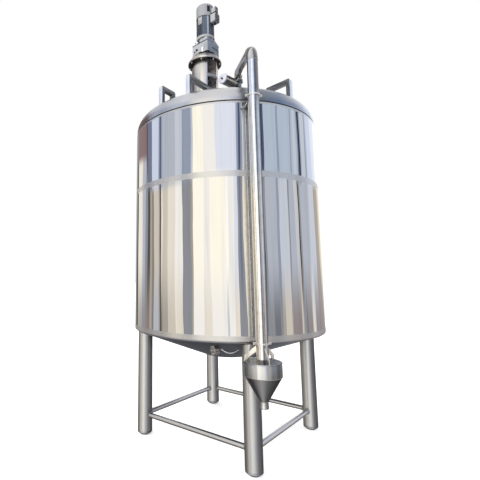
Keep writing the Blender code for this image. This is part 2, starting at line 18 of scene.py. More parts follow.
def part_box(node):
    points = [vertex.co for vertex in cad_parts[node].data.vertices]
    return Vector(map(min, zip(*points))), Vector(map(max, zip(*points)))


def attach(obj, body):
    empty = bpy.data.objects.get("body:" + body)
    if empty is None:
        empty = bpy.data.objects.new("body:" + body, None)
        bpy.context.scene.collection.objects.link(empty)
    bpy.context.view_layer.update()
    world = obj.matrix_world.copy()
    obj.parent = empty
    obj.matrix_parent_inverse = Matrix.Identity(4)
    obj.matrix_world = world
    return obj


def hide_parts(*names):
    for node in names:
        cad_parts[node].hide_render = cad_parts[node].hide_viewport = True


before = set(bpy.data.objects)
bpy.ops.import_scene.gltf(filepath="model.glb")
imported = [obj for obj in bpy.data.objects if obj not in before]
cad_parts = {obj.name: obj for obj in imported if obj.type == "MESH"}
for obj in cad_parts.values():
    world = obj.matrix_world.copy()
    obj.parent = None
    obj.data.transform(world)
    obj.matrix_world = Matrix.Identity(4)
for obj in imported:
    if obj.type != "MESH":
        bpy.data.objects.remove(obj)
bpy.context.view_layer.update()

LOG = logging.getLogger("storage_tank")
UP = Vector((0.0, 0.0, 1.0))
FINE = 420.0  # scale of brushed grain, across its lines

Colour = tuple[float, float, float]
Profile = list[tuple[float, float]]
Inputs = dict[str | int, Any]


def srgb(*channels: int) -> Colour:
    """Turn a screen colour, or one grey, from 0 to 255 into the linear colour that shaders use."""
    shares = [channel / 255.0 for channel in (channels * 3)[:3]]
    return tuple(s / 12.92 if s <= 0.04045 else ((s + 0.055) / 1.055) ** 2.4 for s in shares)


def outward(azimuth: float) -> Vector:
    """Level unit vector at an azimuth."""
    turn = math.radians(azimuth)
    return Vector((math.sin(turn), -math.cos(turn), 0.0))


def beside(way: Vector) -> Vector:
    """Level vector a quarter turn to the left of another."""
    return Vector((-way.y, way.x, 0.0))


def arc(centre: tuple[float, float], radius: float, start: float, end: float, steps: int) -> Profile:
    """Points of a profile along an arc, from one angle above straight outwards to another, in degrees."""
    angles = [math.radians(start + (end - start) * step / steps) for step in range(steps + 1)]
    return [(centre[0] + radius * math.cos(a), centre[1] + radius * math.sin(a)) for a in angles]


def circle(centre: Vector, radius: float, axis: Vector = UP, steps: int = 48) -> list[Vector]:
    """Points round a circle about an axis."""
    side = axis.orthogonal().normalized() * radius
    return [centre + Matrix.Rotation(math.tau * step / steps, 3, axis) @ side for step in range(steps)]


class Slot(Enum):
    """The record's material slots."""

    JACKET = "jacket_polish"
    HEAD = "head_satin"
    LEGS = "leg_steel"
    PIPES = "pipe_polish"
    FITTINGS = "fittings_steel"
    DARK = "valve_dark"
    GREY = "grey_paint"
    SLATE = "slate_paint"


class Body(Enum):
    """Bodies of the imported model."""

    TANK = "tank"
    ROTOR = "rotor"


class Grain(Enum):
    """Way of the lines of brushed steel, with the scale of their noise along each axis."""

    UPRIGHT = (FINE, FINE, 6.0)
    LEVEL = (6.0, FINE, FINE)
    AROUND = None


class Box:
    """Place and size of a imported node."""

    def __init__(self, node: str) -> None:
        """Read a node's corners from the frame.

        Args:
            node: Name of the node.
        """
        self.low, self.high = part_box(node)
        self.size = self.high - self.low
        self.middle = (self.low + self.high) / 2.0
        self.axis = Vector((self.middle.x, self.middle.y, 0.0))
        self.radius = self.size.x / 2.0

    def profile(self, lower: Profile, upper: Profile) -> Profile:
        """Profile of a solid that is turned to fill the box.

        Args:
            lower: Insets from the radius and rises from the bottom.
            upper: Insets from the radius and drops from the top.

        Returns:
            The points, from axis to axis.
        """
        points = [(self.radius - inset, self.low.z + rise) for inset, rise in lower]
        points += [(self.radius - inset, self.high.z - drop) for inset, drop in upper]
        return [(0.0, points[0][1]), *points, (0.0, points[-1][1])]


JACKET_BOX = Box("jacket_shell")
AXIS = JACKET_BOX.axis
SHELL_RADIUS = JACKET_BOX.radius
SHELL_BOTTOM = JACKET_BOX.low.z
SHELL_TOP = JACKET_BOX.high.z
PIPE_BOX = Box("drop_pipe")
PIPE_AXIS = PIPE_BOX.axis
NOZZLE_AXIS = AXIS + Vector((0.158, 0.0, 0.0))
VALVE_BOX = Box("valve_body")
ACTUATOR_HEIGHT = Box("valve_actuator").middle.z
LANTERN_BOX = Box("lantern_base")
MIXER_AXIS = LANTERN_BOX.axis
DRIVE_AXIS = Box("motor_body").axis
DRIVE_AZIMUTH = 42.0
DRIVE_WAY = outward(DRIVE_AZIMUTH)
WINDOW_AZIMUTH = 29.0


# Shader graphs


class Wire:
    """A shader socket that takes part in sums as a number would."""

    def __init__(self, sheet: "NodeSheet", socket: bpy.types.NodeSocket) -> None:
        """Hold a socket and the sheet that it is drawn on."""
        self.sheet = sheet
        self.socket = socket

    def __add__(self, other: "Wire | float") -> "Wire":
        """Sum with another wire or number."""
        return self.sheet.maths("ADD", self, other)

    def __sub__(self, other: "Wire | float") -> "Wire":
        """Difference from another wire or number."""
        return self.sheet.maths("SUBTRACT", self, other)

    def __mul__(self, other: "Wire | float") -> "Wire":
        """Product with another wire or number."""
        return self.sheet.maths("MULTIPLY", self, other)

    def __truediv__(self, other: "Wire | float") -> "Wire":
        """Quotient by another wire or number."""
        return self.sheet.maths("DIVIDE", self, other)

    def __rsub__(self, other: float) -> "Wire":
        """Difference of a number from this wire."""
        return self.sheet.maths("SUBTRACT", other, self)

    __radd__ = __add__
    __rmul__ = __mul__

    def step(self, low: float, high: float) -> "Wire":
        """Rise smoothly from 0 to 1 as this wire goes from one value to another."""
        inputs = {"Value": self, "From Min": low, "From Max": high}
        return self.sheet.wire("MapRange", inputs, interpolation_type="SMOOTHSTEP")

    def band(self, low: float, high: float, soft: float) -> "Wire":
        """Be 1 between two values and 0 outside them, with soft edges."""
        return self.step(low - soft, low + soft) * (1.0 - self.step(high - soft, high + soft))


class NodeSheet:
    """Places and joins the nodes of one material or world."""

    def __init__(self, tree: bpy.types.NodeTree) -> None:
        """Start on an emptied node tree."""
        self.tree = tree
        self.tree.nodes.clear()

    def place(self, kind: str, inputs: Inputs | None = None, **settings: Any) -> bpy.types.Node:
        """Add a node.

        Args:
            kind: Blender's name of its type, after "ShaderNode".
            inputs: Values or wires of its input sockets, by name or number.
            settings: Attributes that are set first, a ramp's stops and interpolation among them.

        Returns:
            The new node.
        """
        node = self.tree.nodes.new(f"ShaderNode{kind}")
        for name, value in settings.items():
            if name == "stops":
                ramp = node.color_ramp.elements
                ramp.remove(ramp[-1])
                for number, (position, colour) in enumerate(value):
                    stop = ramp.new(position) if number else ramp[0]
                    stop.position, stop.color = position, (*colour, 1.0)
            else:
                setattr(node.color_ramp if name == "interpolation" else node, name, value)
        for name, value in (inputs or {}).items():
            socket = node.inputs[name]
            if isinstance(value, Wire):
                self.tree.links.new(value.socket, socket)
            else:
                socket.default_value = (*value, 1.0) if socket.type == "RGBA" else value
        return node

    def wire(self, kind: str, inputs: Inputs | None = None, output: str | int = 0, **settings: Any) -> Wire:
        """Add a node and take one of its outputs."""
        return Wire(self, self.place(kind, inputs, **settings).outputs[output])

    def maths(self, operation: str, first: Wire | float, second: Wire | float = 0.0) -> Wire:
        """Add a Math node on two values."""
        return self.wire("Math", {0: first, 1: second}, operation=operation)

    def mix(self, share: Wire | float, first: Wire | Colour, second: Wire | Colour, kind: str = "MIX") -> Wire:
        """Mix a share of the second colour into the first."""
        return self.wire("Mix", {0: share, 6: first, 7: second}, 2, data_type="RGBA", blend_type=kind)

    def noise(self, place: Wire, scale: float | Colour, detail: float = 2.0, roughness: float = 0.5) -> Wire:
        """Smooth noise from 0 to 1.

        Args:
            place: Coordinates.
            scale: How fine it is; three numbers stretch it along the axes.
            detail: Number of finer layers.
            roughness: Strength of each finer layer.

        Returns:
            The noise.
        """
        if isinstance(scale, tuple):
            place, scale = self.wire("Mapping", {"Vector": place, "Scale": scale}), 1.0
        inputs = {"Vector": place, "Scale": scale, "Detail": detail, "Roughness": roughness}
        return self.wire("TexNoise", inputs, "Fac")

    def bump(self, height: Wire, distance: float) -> Wire:
        """Turn a height into a bent normal."""
        return self.wire("Bump", {"Height": height, "Distance": distance, "Strength": 1.0})

    def parts(self, vector: Wire) -> list[Wire]:
        """Split a vector into its three numbers."""
        return [Wire(self, output) for output in self.place("SeparateXYZ", {0: vector}).outputs]


# Finishes


@dataclass(frozen=True)
class PaintedLight:
    """Painted reflections and shade round an upright round piece: rows of an azimuth and a screen colour or grey."""

    axis: Vector
    rows: tuple[tuple[float, ...], ...]
    turn: float = 0.0

    def tone(self, sheet: NodeSheet, place: Wire, colour: Wire) -> Wire:
        """Multiply a colour by the painted reflections and shade, whose edges stray a little.

        Args:
            sheet: The material's nodes.
            place: Coordinates.
            colour: The colour.

        Returns:
            The toned colour.
        """
        x, y, _ = sheet.parts(place)
        share = sheet.maths("ARCTAN2", x - self.axis.x, (y - self.axis.y) * -1.0) / math.tau + 0.5
        stray = (sheet.noise(place, (0.6, 0.6, 2.0)) - 0.5) * 0.008
        stops = [((azimuth + self.turn + 180.0) / 360.0, srgb(*tone)) for azimuth, *tone in self.rows]
        return sheet.mix(1.0, colour, sheet.wire("ValToRGB", {"Fac": share + stray}, stops=stops), "MULTIPLY")


@dataclass(frozen=True)
class Finish:
    """A surface finish, made into a material once."""

    name: str
    tint: Colour = (0.98, 0.98, 0.98)
    roughness: float = 0.28
    # painted reflections and shade round the piece's axis, multiplied into its colour
    painted_light: PaintedLight | None = None
    slot: Slot = Slot.FITTINGS

    def material(self) -> bpy.types.Material:
        """Make the material on first use.

        Returns:
            The material.
        """
        name = f"{self.name}_finish"
        made = bpy.data.materials.get(name)
        if made is None:
            made = bpy.data.materials.new(name)
            made.use_nodes = True
            sheet = NodeSheet(made.node_tree)
            shader = sheet.wire("BsdfPrincipled", self.shade(sheet, sheet.wire("TexCoord", output="Object")))
            sheet.place("OutputMaterial", {"Surface": shader})
        return made

    def shade(self, sheet: NodeSheet, place: Wire) -> Inputs:
        """Draw the finish; each kind has its own.

        Args:
            sheet: The material's nodes.
            place: Coordinates in the tank's own frame.

        Returns:
            What goes into the shader's sockets.
        """
        raise NotImplementedError

    def with_painted_light(self, sheet: NodeSheet, place: Wire, colour: Wire) -> Wire:
        """Multiply a colour by the finish's painted reflections and shade, if it has them."""
        return self.painted_light.tone(sheet, place, colour) if self.painted_light else colour

    def dimmed(self, share: float) -> Colour:
        """The tint times a share."""
        return tuple(channel * share for channel in self.tint)


@dataclass(frozen=True)
class SatinSteel(Finish):
    """Brushed stainless steel with fine grain and cloudy wear.

    It can show painted light and shade inside a radius, painted shade towards a bar's underside, and a painted
    highlight on the end that faces an azimuth, from a reach.
    """

    grain: Grain = Grain.UPRIGHT
    wear: float = 0.4
    axis: Vector | None = None
    depth: float = 0.00004
    hollow: float = 0.0
    inside: tuple[Colour, ...] = ()
    bar: Box | None = None
    end: tuple[float, float] | None = None

    def shade(self, sheet: NodeSheet, place: Wire) -> Inputs:
        """Draw grain, cloudy gloss, a faint change of colour, and any painted light and shade.

        Args:
            sheet: The material's nodes.
            place: Place on the part.

        Returns:
            Inputs of the shader.
        """
        x, y, z = sheet.parts(place)
        if self.grain is Grain.AROUND or self.hollow:
            axis = self.axis or self.painted_light.axis
            x, y = x - axis.x, y - axis.y
            reach = sheet.maths("SQRT", x * x + y * y)
        if self.grain is Grain.AROUND:
            rings = sheet.wire("CombineXYZ", {0: reach * FINE, 1: z * FINE, 2: x * 3.0})
            lines = sheet.noise(rings, 1.0, 3.0, 0.6)
        else:
            lines = sheet.noise(place, self.grain.value, 3.0, 0.6)
        clouds = sheet.noise(place, 7.0, 3.0, 0.55)
        warm = (self.tint[0] * 1.02, self.tint[1], self.tint[2] * 0.97)
        colour = sheet.mix(clouds.step(0.3, 0.75), self.dimmed(1.0 - 0.14 * self.wear), warm)
        colour = sheet.mix(lines.step(0.35, 0.7) * 0.35 * self.wear, colour, self.dimmed(0.8))
        colour = self.with_painted_light(sheet, place, colour)
        metal: Wire | float = 1.0
        # painted light and shade inside the hollow, with less metal so that diffuse light shows it
        if self.hollow:
            inner = 1.0 - reach.step(self.hollow - 0.002, self.hollow)
            colour = sheet.mix(inner, colour, sheet.mix(x.step(0.0, self.hollow * 0.9), *self.inside))
            metal = 1.0 - inner * 0.85
        # painted shade on the bar's underside and a painted highlight near its top
        if self.bar:
            stops = [(0.0, (0.22, 0.22, 0.24)), (0.30, (0.42, 0.42, 0.43)), (0.55, (0.92, 0.92, 0.92)),
                     (0.78, (1.0, 1.0, 1.0)), (1.0, (0.55, 0.56, 0.60))]
            share = (z - self.bar.low.z) / self.bar.size.z
            colour = sheet.mix(1.0, colour, sheet.wire("ValToRGB", {"Fac": share}, stops=stops), "MULTIPLY")
        # painted highlight on the end that faces outwards
        if self.end:
            way = outward(self.end[0])
            out = x * way.x + y * way.y
            colour = sheet.mix(out.step(self.end[1] - 0.0035, self.end[1] - 0.0015), colour, (0.86, 0.89, 0.98))
        gloss = self.roughness + ((clouds - 0.5) * 0.16 + (lines - 0.5) * 0.10) * self.wear
        return {"Base Color": colour, "Metallic": metal, "Roughness": gloss, "Normal": sheet.bump(lines, self.depth)}


@dataclass(frozen=True)
class MirrorSheet(Finish):
    """Mirror polished jacket sheet, brushed in bands of (low, high) where it was welded, with slow waves."""

    bands: tuple[tuple[float, float], ...] = ()

    def shade(self, sheet: NodeSheet, place: Wire) -> Inputs:
        """Draw the mirror, its bands, and the long waves that bend what it reflects.

        Args:
            sheet: The material's nodes.
            place: Place on the part.

        Returns:
            Inputs of the shader.
        """
        z = sheet.parts(place)[2]
        brushed = sum(z.band(low, high, 0.002) for low, high in self.bands)
        across = sheet.noise(place, (3.0, 3.0, 300.0), 3.0, 0.6)
        waves = sheet.noise(place, (5.0, 5.0, 0.9), 1.5, 0.4)
        haze = sheet.noise(place, (30.0, 30.0, 1.2))
        colour = sheet.mix(haze.step(0.45, 0.8), self.tint, self.dimmed(0.90))
        colour = sheet.mix(brushed * 0.6, colour, self.dimmed(0.88))
        gloss = self.roughness + haze * 0.012 + brushed * (0.22 + across * 0.14)
        return {"Base Color": colour, "Metallic": 1.0, "Roughness": gloss,
                "Normal": sheet.bump(waves + brushed * across * 0.03, 0.0040)}


@dataclass(frozen=True)
class MirrorTube(Finish):
    """Polished tube with a little haze; it can have painted reflections above the rim, or a painted highlight on the
    actuator.
    """

    slot: Slot = Slot.PIPES
    upper: PaintedLight | None = None
    painted_streak: bool = False

    def shade(self, sheet: NodeSheet, place: Wire) -> Inputs:
        """Draw the mirror, its haze, and its painted reflections and highlight.

        Args:
            sheet: The material's nodes.
            place: Place on the part.

        Returns:
            Inputs of the shader.
        """
        z = sheet.parts(place)[2]
        haze = sheet.noise(place, 24.0, 3.0, 0.6)
        plain = sheet.mix(haze.step(0.35, 0.8), self.tint, self.dimmed(0.84))
        colour = self.with_painted_light(sheet, place, plain)
        metal: Wire | float = 1.0
        # painted reflections above the rim
        if self.upper:
            above = self.upper.tone(sheet, place, plain)
            colour = sheet.mix(z.step(SHELL_TOP - 0.14, SHELL_TOP + 0.04), colour, above)
        # painted highlight streak along the actuator's barrel
        if self.painted_streak:
            light = z.band(ACTUATOR_HEIGHT - 0.019, ACTUATOR_HEIGHT - 0.004, 0.0015)
            colour = sheet.mix(light, colour, (0.72, 0.66, 0.56))
            metal = 1.0 - light
        return {"Base Color": colour, "Metallic": metal, "Roughness": self.roughness + haze * 0.08,
                "Normal": sheet.bump(sheet.noise(place, 9.0), 0.0004)}


@dataclass(frozen=True)
class Paint(Finish):
    """Machine paint with orange peel and dusty patches; past a reach along the drive it takes a painted shade colour.
    """

    slot: Slot = Slot.GREY
    dust: Colour = (0.5, 0.5, 0.48)
    dusty: float = 0.18
    reach: float = 0.0
    far: Colour = (0.040, 0.045, 0.056)

    def shade(self, sheet: NodeSheet, place: Wire) -> Inputs:
        """Draw the paint, with any painted light and shade.

        Args:
            sheet: The material's nodes.
            place: Place on the part.

        Returns:
            Inputs of the shader.
        """
        clouds = sheet.noise(place, 14.0, 4.0, 0.6)
        colour = sheet.mix(clouds.step(0.4, 0.75) * self.dusty, self.tint, self.dust)
        colour = self.with_painted_light(sheet, place, colour)
        # painted shade on faces past the reach, which are turned from the light
        if self.reach:
            x, y, _ = sheet.parts(place)
            out = (x - DRIVE_AXIS.x) * DRIVE_WAY.x + (y - DRIVE_AXIS.y) * DRIVE_WAY.y
            colour = sheet.mix(out.step(self.reach - 0.004, self.reach - 0.002), colour, self.far)
        return {"Base Color": colour, "Metallic": 0.0, "Roughness": self.roughness + (clouds - 0.5) * 0.2,
                "Normal": sheet.bump(sheet.noise(place, 700.0), 0.00012)}


@dataclass(frozen=True)
class WeldMetal(Finish):
    """Rippled weld bead, a little tinted by heat."""

    def shade(self, sheet: NodeSheet, place: Wire) -> Inputs:
        """Draw ripples and heat tint.

        Args:
            sheet: The material's nodes.
            place: Place on the part.

        Returns:
            Inputs of the shader.
        """
        ripple = sheet.noise(place, 240.0)
        heated = (self.tint[0] * 0.9, self.tint[1] * 0.78, self.tint[2] * 0.6)
        colour = sheet.mix(sheet.noise(place, 18.0).step(0.35, 0.7), self.tint, heated)
        return {"Base Color": colour, "Metallic": 1.0, "Roughness": self.roughness + ripple * 0.15,
                "Normal": sheet.bump(ripple, 0.0006)}


@dataclass(frozen=True)
class SoftBlack(Finish):
    """Black rubber, a dark gap, or painted shadow."""

    slot: Slot = Slot.DARK

    def shade(self, sheet: NodeSheet, place: Wire) -> Inputs:
        """Draw the mottled rubber.

        Args:
            sheet: The material's nodes.
            place: Place on the part.

        Returns:
            Inputs of the shader.
        """
        mottle = sheet.noise(place, 120.0, 3.0, 0.6)
        return {"Base Color": sheet.mix(mottle, self.tint, self.dimmed(1.8)), "Metallic": 0.0,
                "Roughness": self.roughness + mottle * 0.1, "Specular IOR Level": 0.15,
                "Normal": sheet.bump(mottle, 0.0002)}


@dataclass(frozen=True)
class PaleFloor(Finish):
    """Plain pale floor, lit a little from within."""

    def shade(self, sheet: NodeSheet, place: Wire) -> Inputs:
        """Draw the floor."""
        return {"Base Color": self.tint, "Roughness": self.roughness, "Specular IOR Level": 0.0,
                "Emission Color": (1.0, 1.0, 1.0), "Emission Strength": 0.55}


# Painted reflections, light and shade round each piece, multiplied into its colour; the motor's rows hold a painted
# highlight streak.
HEAD_PAINTED_LIGHT = PaintedLight(AXIS, (
    (-180, 200), (-95, 124, 114, 114), (-64, 134, 128, 130), (-60, 186, 190, 202), (-48, 178, 183, 195),
    (-34, 204, 209, 219), (-25, 202, 204, 211), (-11, 205, 207, 213), (-4, 196, 200, 209), (6, 124, 127, 136),
    (20, 122, 136, 159), (30, 166, 173, 189), (42, 206, 210, 219), (60, 205, 209, 217), (180, 200)))
LEG_PAINTED_LIGHT = (
    (-160, 170), (-95, 146, 142, 138), (-66, 178, 178, 174), (-44, 202, 203, 206), (-28, 208, 211, 216),
    (-16, 196, 198, 202), (-3, 192, 197, 204), (9, 158, 162, 172), (22, 128, 132, 140), (42, 104, 108, 113),
    (66, 90, 92, 96), (100, 160, 160, 162), (160, 170))
PIPE_PAINTED_LIGHT = PaintedLight(PIPE_AXIS, (
    (-180, 235), (-95, 250, 248, 240), (-62, 232, 225, 212), (-50, 222, 216, 204), (-41, 252, 252, 250),
    (-20, 250, 248, 243), (-13, 209, 210, 213), (-8, 132, 141, 157), (0, 131, 140, 158), (6, 191, 194, 200),
    (34, 246, 240, 233), (42, 109, 112, 123), (60, 66, 72, 86), (100, 235), (180, 235)))
PIPE_HIGH_PAINTED_LIGHT = PaintedLight(PIPE_AXIS, (
    (-180, 160, 160, 162), (-92, 60, 60, 64), (-76, 98, 101, 109), (-62, 238, 242, 250), (-45, 245, 248, 252),
    (-16, 204, 210, 220), (-7, 200, 213, 237), (-2, 105, 121, 149), (6, 120, 118, 116), (26, 148, 143, 138),
    (48, 164, 160, 156), (180, 120, 120, 122)))
CUP_PAINTED_LIGHT = PaintedLight(PIPE_AXIS, (
    (-180, 170), (-96, 160, 160, 158), (-80, 108, 110, 112), (-62, 164, 168, 172), (-44, 181, 183, 187),
    (-34, 236, 238, 242), (-21, 205, 208, 213), (-12, 202, 205, 210), (-5, 187, 192, 203), (8, 159, 162, 168),
    (19, 147, 148, 151), (28, 120, 123, 128), (40, 112, 115, 118), (60, 150, 152, 152), (180, 170)))
FUNNEL_PAINTED_LIGHT = PaintedLight(PIPE_AXIS, (
    (-180, 150), (-90, 150, 148, 146), (-62, 108, 104, 102), (-48, 146, 142, 140), (-26, 203, 202, 200),
    (-16, 183, 183, 182), (-6, 136), (12, 100), (38, 72), (62, 110), (180, 150)))
LANTERN_PAINTED_LIGHT = PaintedLight(MIXER_AXIS, (
    (-180, 160, 158, 156), (-92, 97, 94, 91), (-76, 108, 105, 102), (-60, 172, 170, 168), (-46, 208, 207, 205),
    (-28, 220, 219, 218), (-8, 204, 203, 203), (-3, 192, 196, 212), (1, 150, 153, 162), (52, 142, 142, 145),
    (57, 178, 158, 150), (66, 166, 148, 140), (120, 160, 156, 152), (180, 160, 158, 156)))
FLANGE_PAINTED_LIGHT = PaintedLight(MIXER_AXIS, (
    (-180, 200, 197, 194), (-86, 138, 126, 120), (-62, 175, 165, 160), (-34, 198, 196, 194), (-16, 248, 244, 236),
    (0, 197, 197, 202), (22, 148, 149, 151), (52, 148, 136, 132), (90, 180, 170, 166), (180, 200, 197, 194)))
MOTOR_PAINTED_LIGHT = PaintedLight(DRIVE_AXIS, (
    (-180, 60, 66, 80), (-88, 46, 51, 62), (-66, 38, 44, 58), (-42, 34, 41, 57), (-32, 50, 61, 80),
    (-22, 79, 92, 110), (-14, 68, 80, 100), (-6, 84, 93, 112), (2.5, 84, 93, 112), (4, 172, 176, 188),
    (10, 160, 165, 177), (12, 66, 74, 92), (27, 66, 75, 96), (38, 26, 33, 48), (60, 34, 38, 49), (180, 60, 66, 80)))
PAD_PAINTED_LIGHT = PaintedLight(MIXER_AXIS, (
    (-180, 200), (-88, 148, 154, 170), (-62, 158, 162, 173), (-46, 196, 198, 202), (-20, 218, 219, 221),
    (32, 211, 213, 216), (42, 173, 176, 182), (60, 130, 135, 146), (180, 200)))
COWL_PAINTED_LIGHT = PaintedLight(DRIVE_AXIS, (
    (-180, 150, 152, 156), (-92, 116, 119, 124), (-66, 134, 136, 140), (-40, 148, 149, 154), (-8, 151, 152, 157),
    (20, 146, 148, 152), (32, 122, 126, 133), (56, 84, 88, 96), (90, 110, 113, 118), (180, 150, 152, 156)))

WELD_BANDS = ((SHELL_TOP - 0.020, SHELL_TOP + 0.010), (SHELL_TOP - 0.552, SHELL_TOP - 0.509),
              (SHELL_BOTTOM - 0.010, SHELL_BOTTOM + 0.048))
JACKET = MirrorSheet("jacket_mirror", (0.64, 0.64, 0.645), 0.014, slot=Slot.JACKET, bands=WELD_BANDS)
HEAD_SATIN = SatinSteel("head_satin", roughness=0.30, painted_light=HEAD_PAINTED_LIGHT, slot=Slot.HEAD, grain=Grain.AROUND)
# the cone's dark tint is painted shade under the tank
CONE_SATIN = SatinSteel("cone_satin", (0.15, 0.155, 0.17), 0.34, None, Slot.HEAD, Grain.AROUND, 0.5, AXIS)
# its bar ramp paints shade on the underside and a highlight near the top
TIE_STEEL = SatinSteel("tie_brushed", (0.66, 0.66, 0.67), 0.24, None, Slot.LEGS, Grain.LEVEL,
                       bar=Box("tie_bar_front_right"))
PIPE_MIRROR = MirrorTube("pipe_mirror", (0.99, 0.99, 0.99), 0.07, PIPE_PAINTED_LIGHT, upper=PIPE_HIGH_PAINTED_LIGHT)
RIM_MIRROR = MirrorTube("rim_bend_mirror", (0.72, 0.71, 0.70), 0.10, PIPE_HIGH_PAINTED_LIGHT)
RUN_MIRROR = MirrorTube("crossover_mirror", (0.50, 0.50, 0.505), 0.12)
TUBE_MIRROR = MirrorTube("tube_mirror", (0.62, 0.62, 0.65), 0.07, slot=Slot.FITTINGS)
# the barrel's streak is a painted highlight
DARK_TUBE = MirrorTube("dark_tube", (0.115, 0.115, 0.117), 0.22, painted_streak=True)
FITTING_SATIN = SatinSteel("fitting_satin", (0.56, 0.55, 0.545), 0.25, wear=0.6)
BRIGHT_CLAMP = SatinSteel("bright_clamp", (0.80, 0.80, 0.82), 0.16, wear=0.3, depth=0.00001)
STRAP_SATIN = SatinSteel("strap_satin", (0.84, 0.82, 0.78), 0.26)
# inside it: cream on one side, blue-grey on the other: painted light and shade
CUP_SATIN = SatinSteel("cup_satin", painted_light=CUP_PAINTED_LIGHT, grain=Grain.AROUND, hollow=0.1145,
                       inside=((0.98, 0.96, 0.92), (0.62, 0.65, 0.75)))
FUNNEL_SATIN = SatinSteel("funnel_satin", roughness=0.30, painted_light=FUNNEL_PAINTED_LIGHT, grain=Grain.AROUND)
SPOUT_SATIN = SatinSteel("spout_satin", painted_light=CUP_PAINTED_LIGHT, grain=Grain.AROUND)
# inside it: dark navy on one side, pale on the other: painted shade and light seen through the windows
LANTERN_SATIN = SatinSteel("lantern_satin", painted_light=LANTERN_PAINTED_LIGHT, wear=0.3, hollow=LANTERN_BOX.radius - 0.0015,
                           inside=((0.17, 0.22, 0.36), (0.86, 0.83, 0.86)))
BEARING_SATIN = SatinSteel("bearing_satin", (0.34, 0.35, 0.38), 0.30, wear=0.5)
FLANGE_SATIN = SatinSteel("flange_satin", painted_light=FLANGE_PAINTED_LIGHT, grain=Grain.AROUND)
PAD_SATIN = SatinSteel("pad_satin", painted_light=PAD_PAINTED_LIGHT, grain=Grain.AROUND)
# dark steel that serves only as painted shade under the drive's flange
PAINTED_SHADE_STEEL = SatinSteel("painted_shade_steel", (0.050, 0.042, 0.036), 0.40, slot=Slot.DARK, wear=0.6)
BOLT_STEEL = SatinSteel("bolt_steel", (0.70, 0.69, 0.67), 0.20, wear=0.3, depth=0.00001)
DARK_STEEL = SatinSteel("dark_steel", (0.085, 0.09, 0.10), 0.34, None, Slot.DARK, Grain.AROUND, 1.0, MIXER_AXIS)
VALVE_STEEL = SatinSteel("valve_steel", (0.24, 0.26, 0.30), 0.22, slot=Slot.DARK, wear=0.5)
PLATE = SatinSteel("bare_plate", (0.62, 0.62, 0.60), 0.32, None, Slot.GREY, Grain.LEVEL, 1.0)
PALE_CAP = Paint("actuator_cap", (0.62, 0.65, 0.74), 0.35, slot=Slot.PIPES)
WHITE_CAP = Paint("white_cap", (0.80, 0.81, 0.84), 0.35, dusty=0.0)
BLUE_MARK = Paint("blue_mark", (0.05, 0.09, 0.24), 0.35, dusty=0.0)
NAVY_MARK = Paint("navy_mark", (0.012, 0.018, 0.045), 0.40, slot=Slot.DARK, dusty=0.0)
# its far colour is painted shade on the gearbox's end faces
GREY_PAINT = Paint("grey_paint", srgb(156, 159, 165), 0.42, dust=srgb(176, 178, 180), dusty=0.25, reach=0.090,
                   far=srgb(118, 130, 148))
RING_PAINT = Paint("ring_paint", srgb(158, 160, 164), 0.40, dust=srgb(172, 172, 170))
SLATE_PAINT = Paint("slate_paint", (1.0, 1.0, 1.0), 0.28, MOTOR_PAINTED_LIGHT, Slot.SLATE, dusty=0.0)
COWL_PAINT = Paint("cowl_paint", (1.0, 1.0, 1.0), 0.40, COWL_PAINTED_LIGHT, dusty=0.0)
WELD = WeldMetal("weld_bead", (0.52, 0.51, 0.50), 0.26)
GASKET = SoftBlack("dark_gasket", (0.012, 0.013, 0.019), 0.60)
SHADOW_PAINT = SoftBlack("shadow_black", (0.004, 0.005, 0.009), 0.70)
FLOOR = PaleFloor("pale_floor", (0.93, 0.93, 0.93), 0.9)


# Modelling


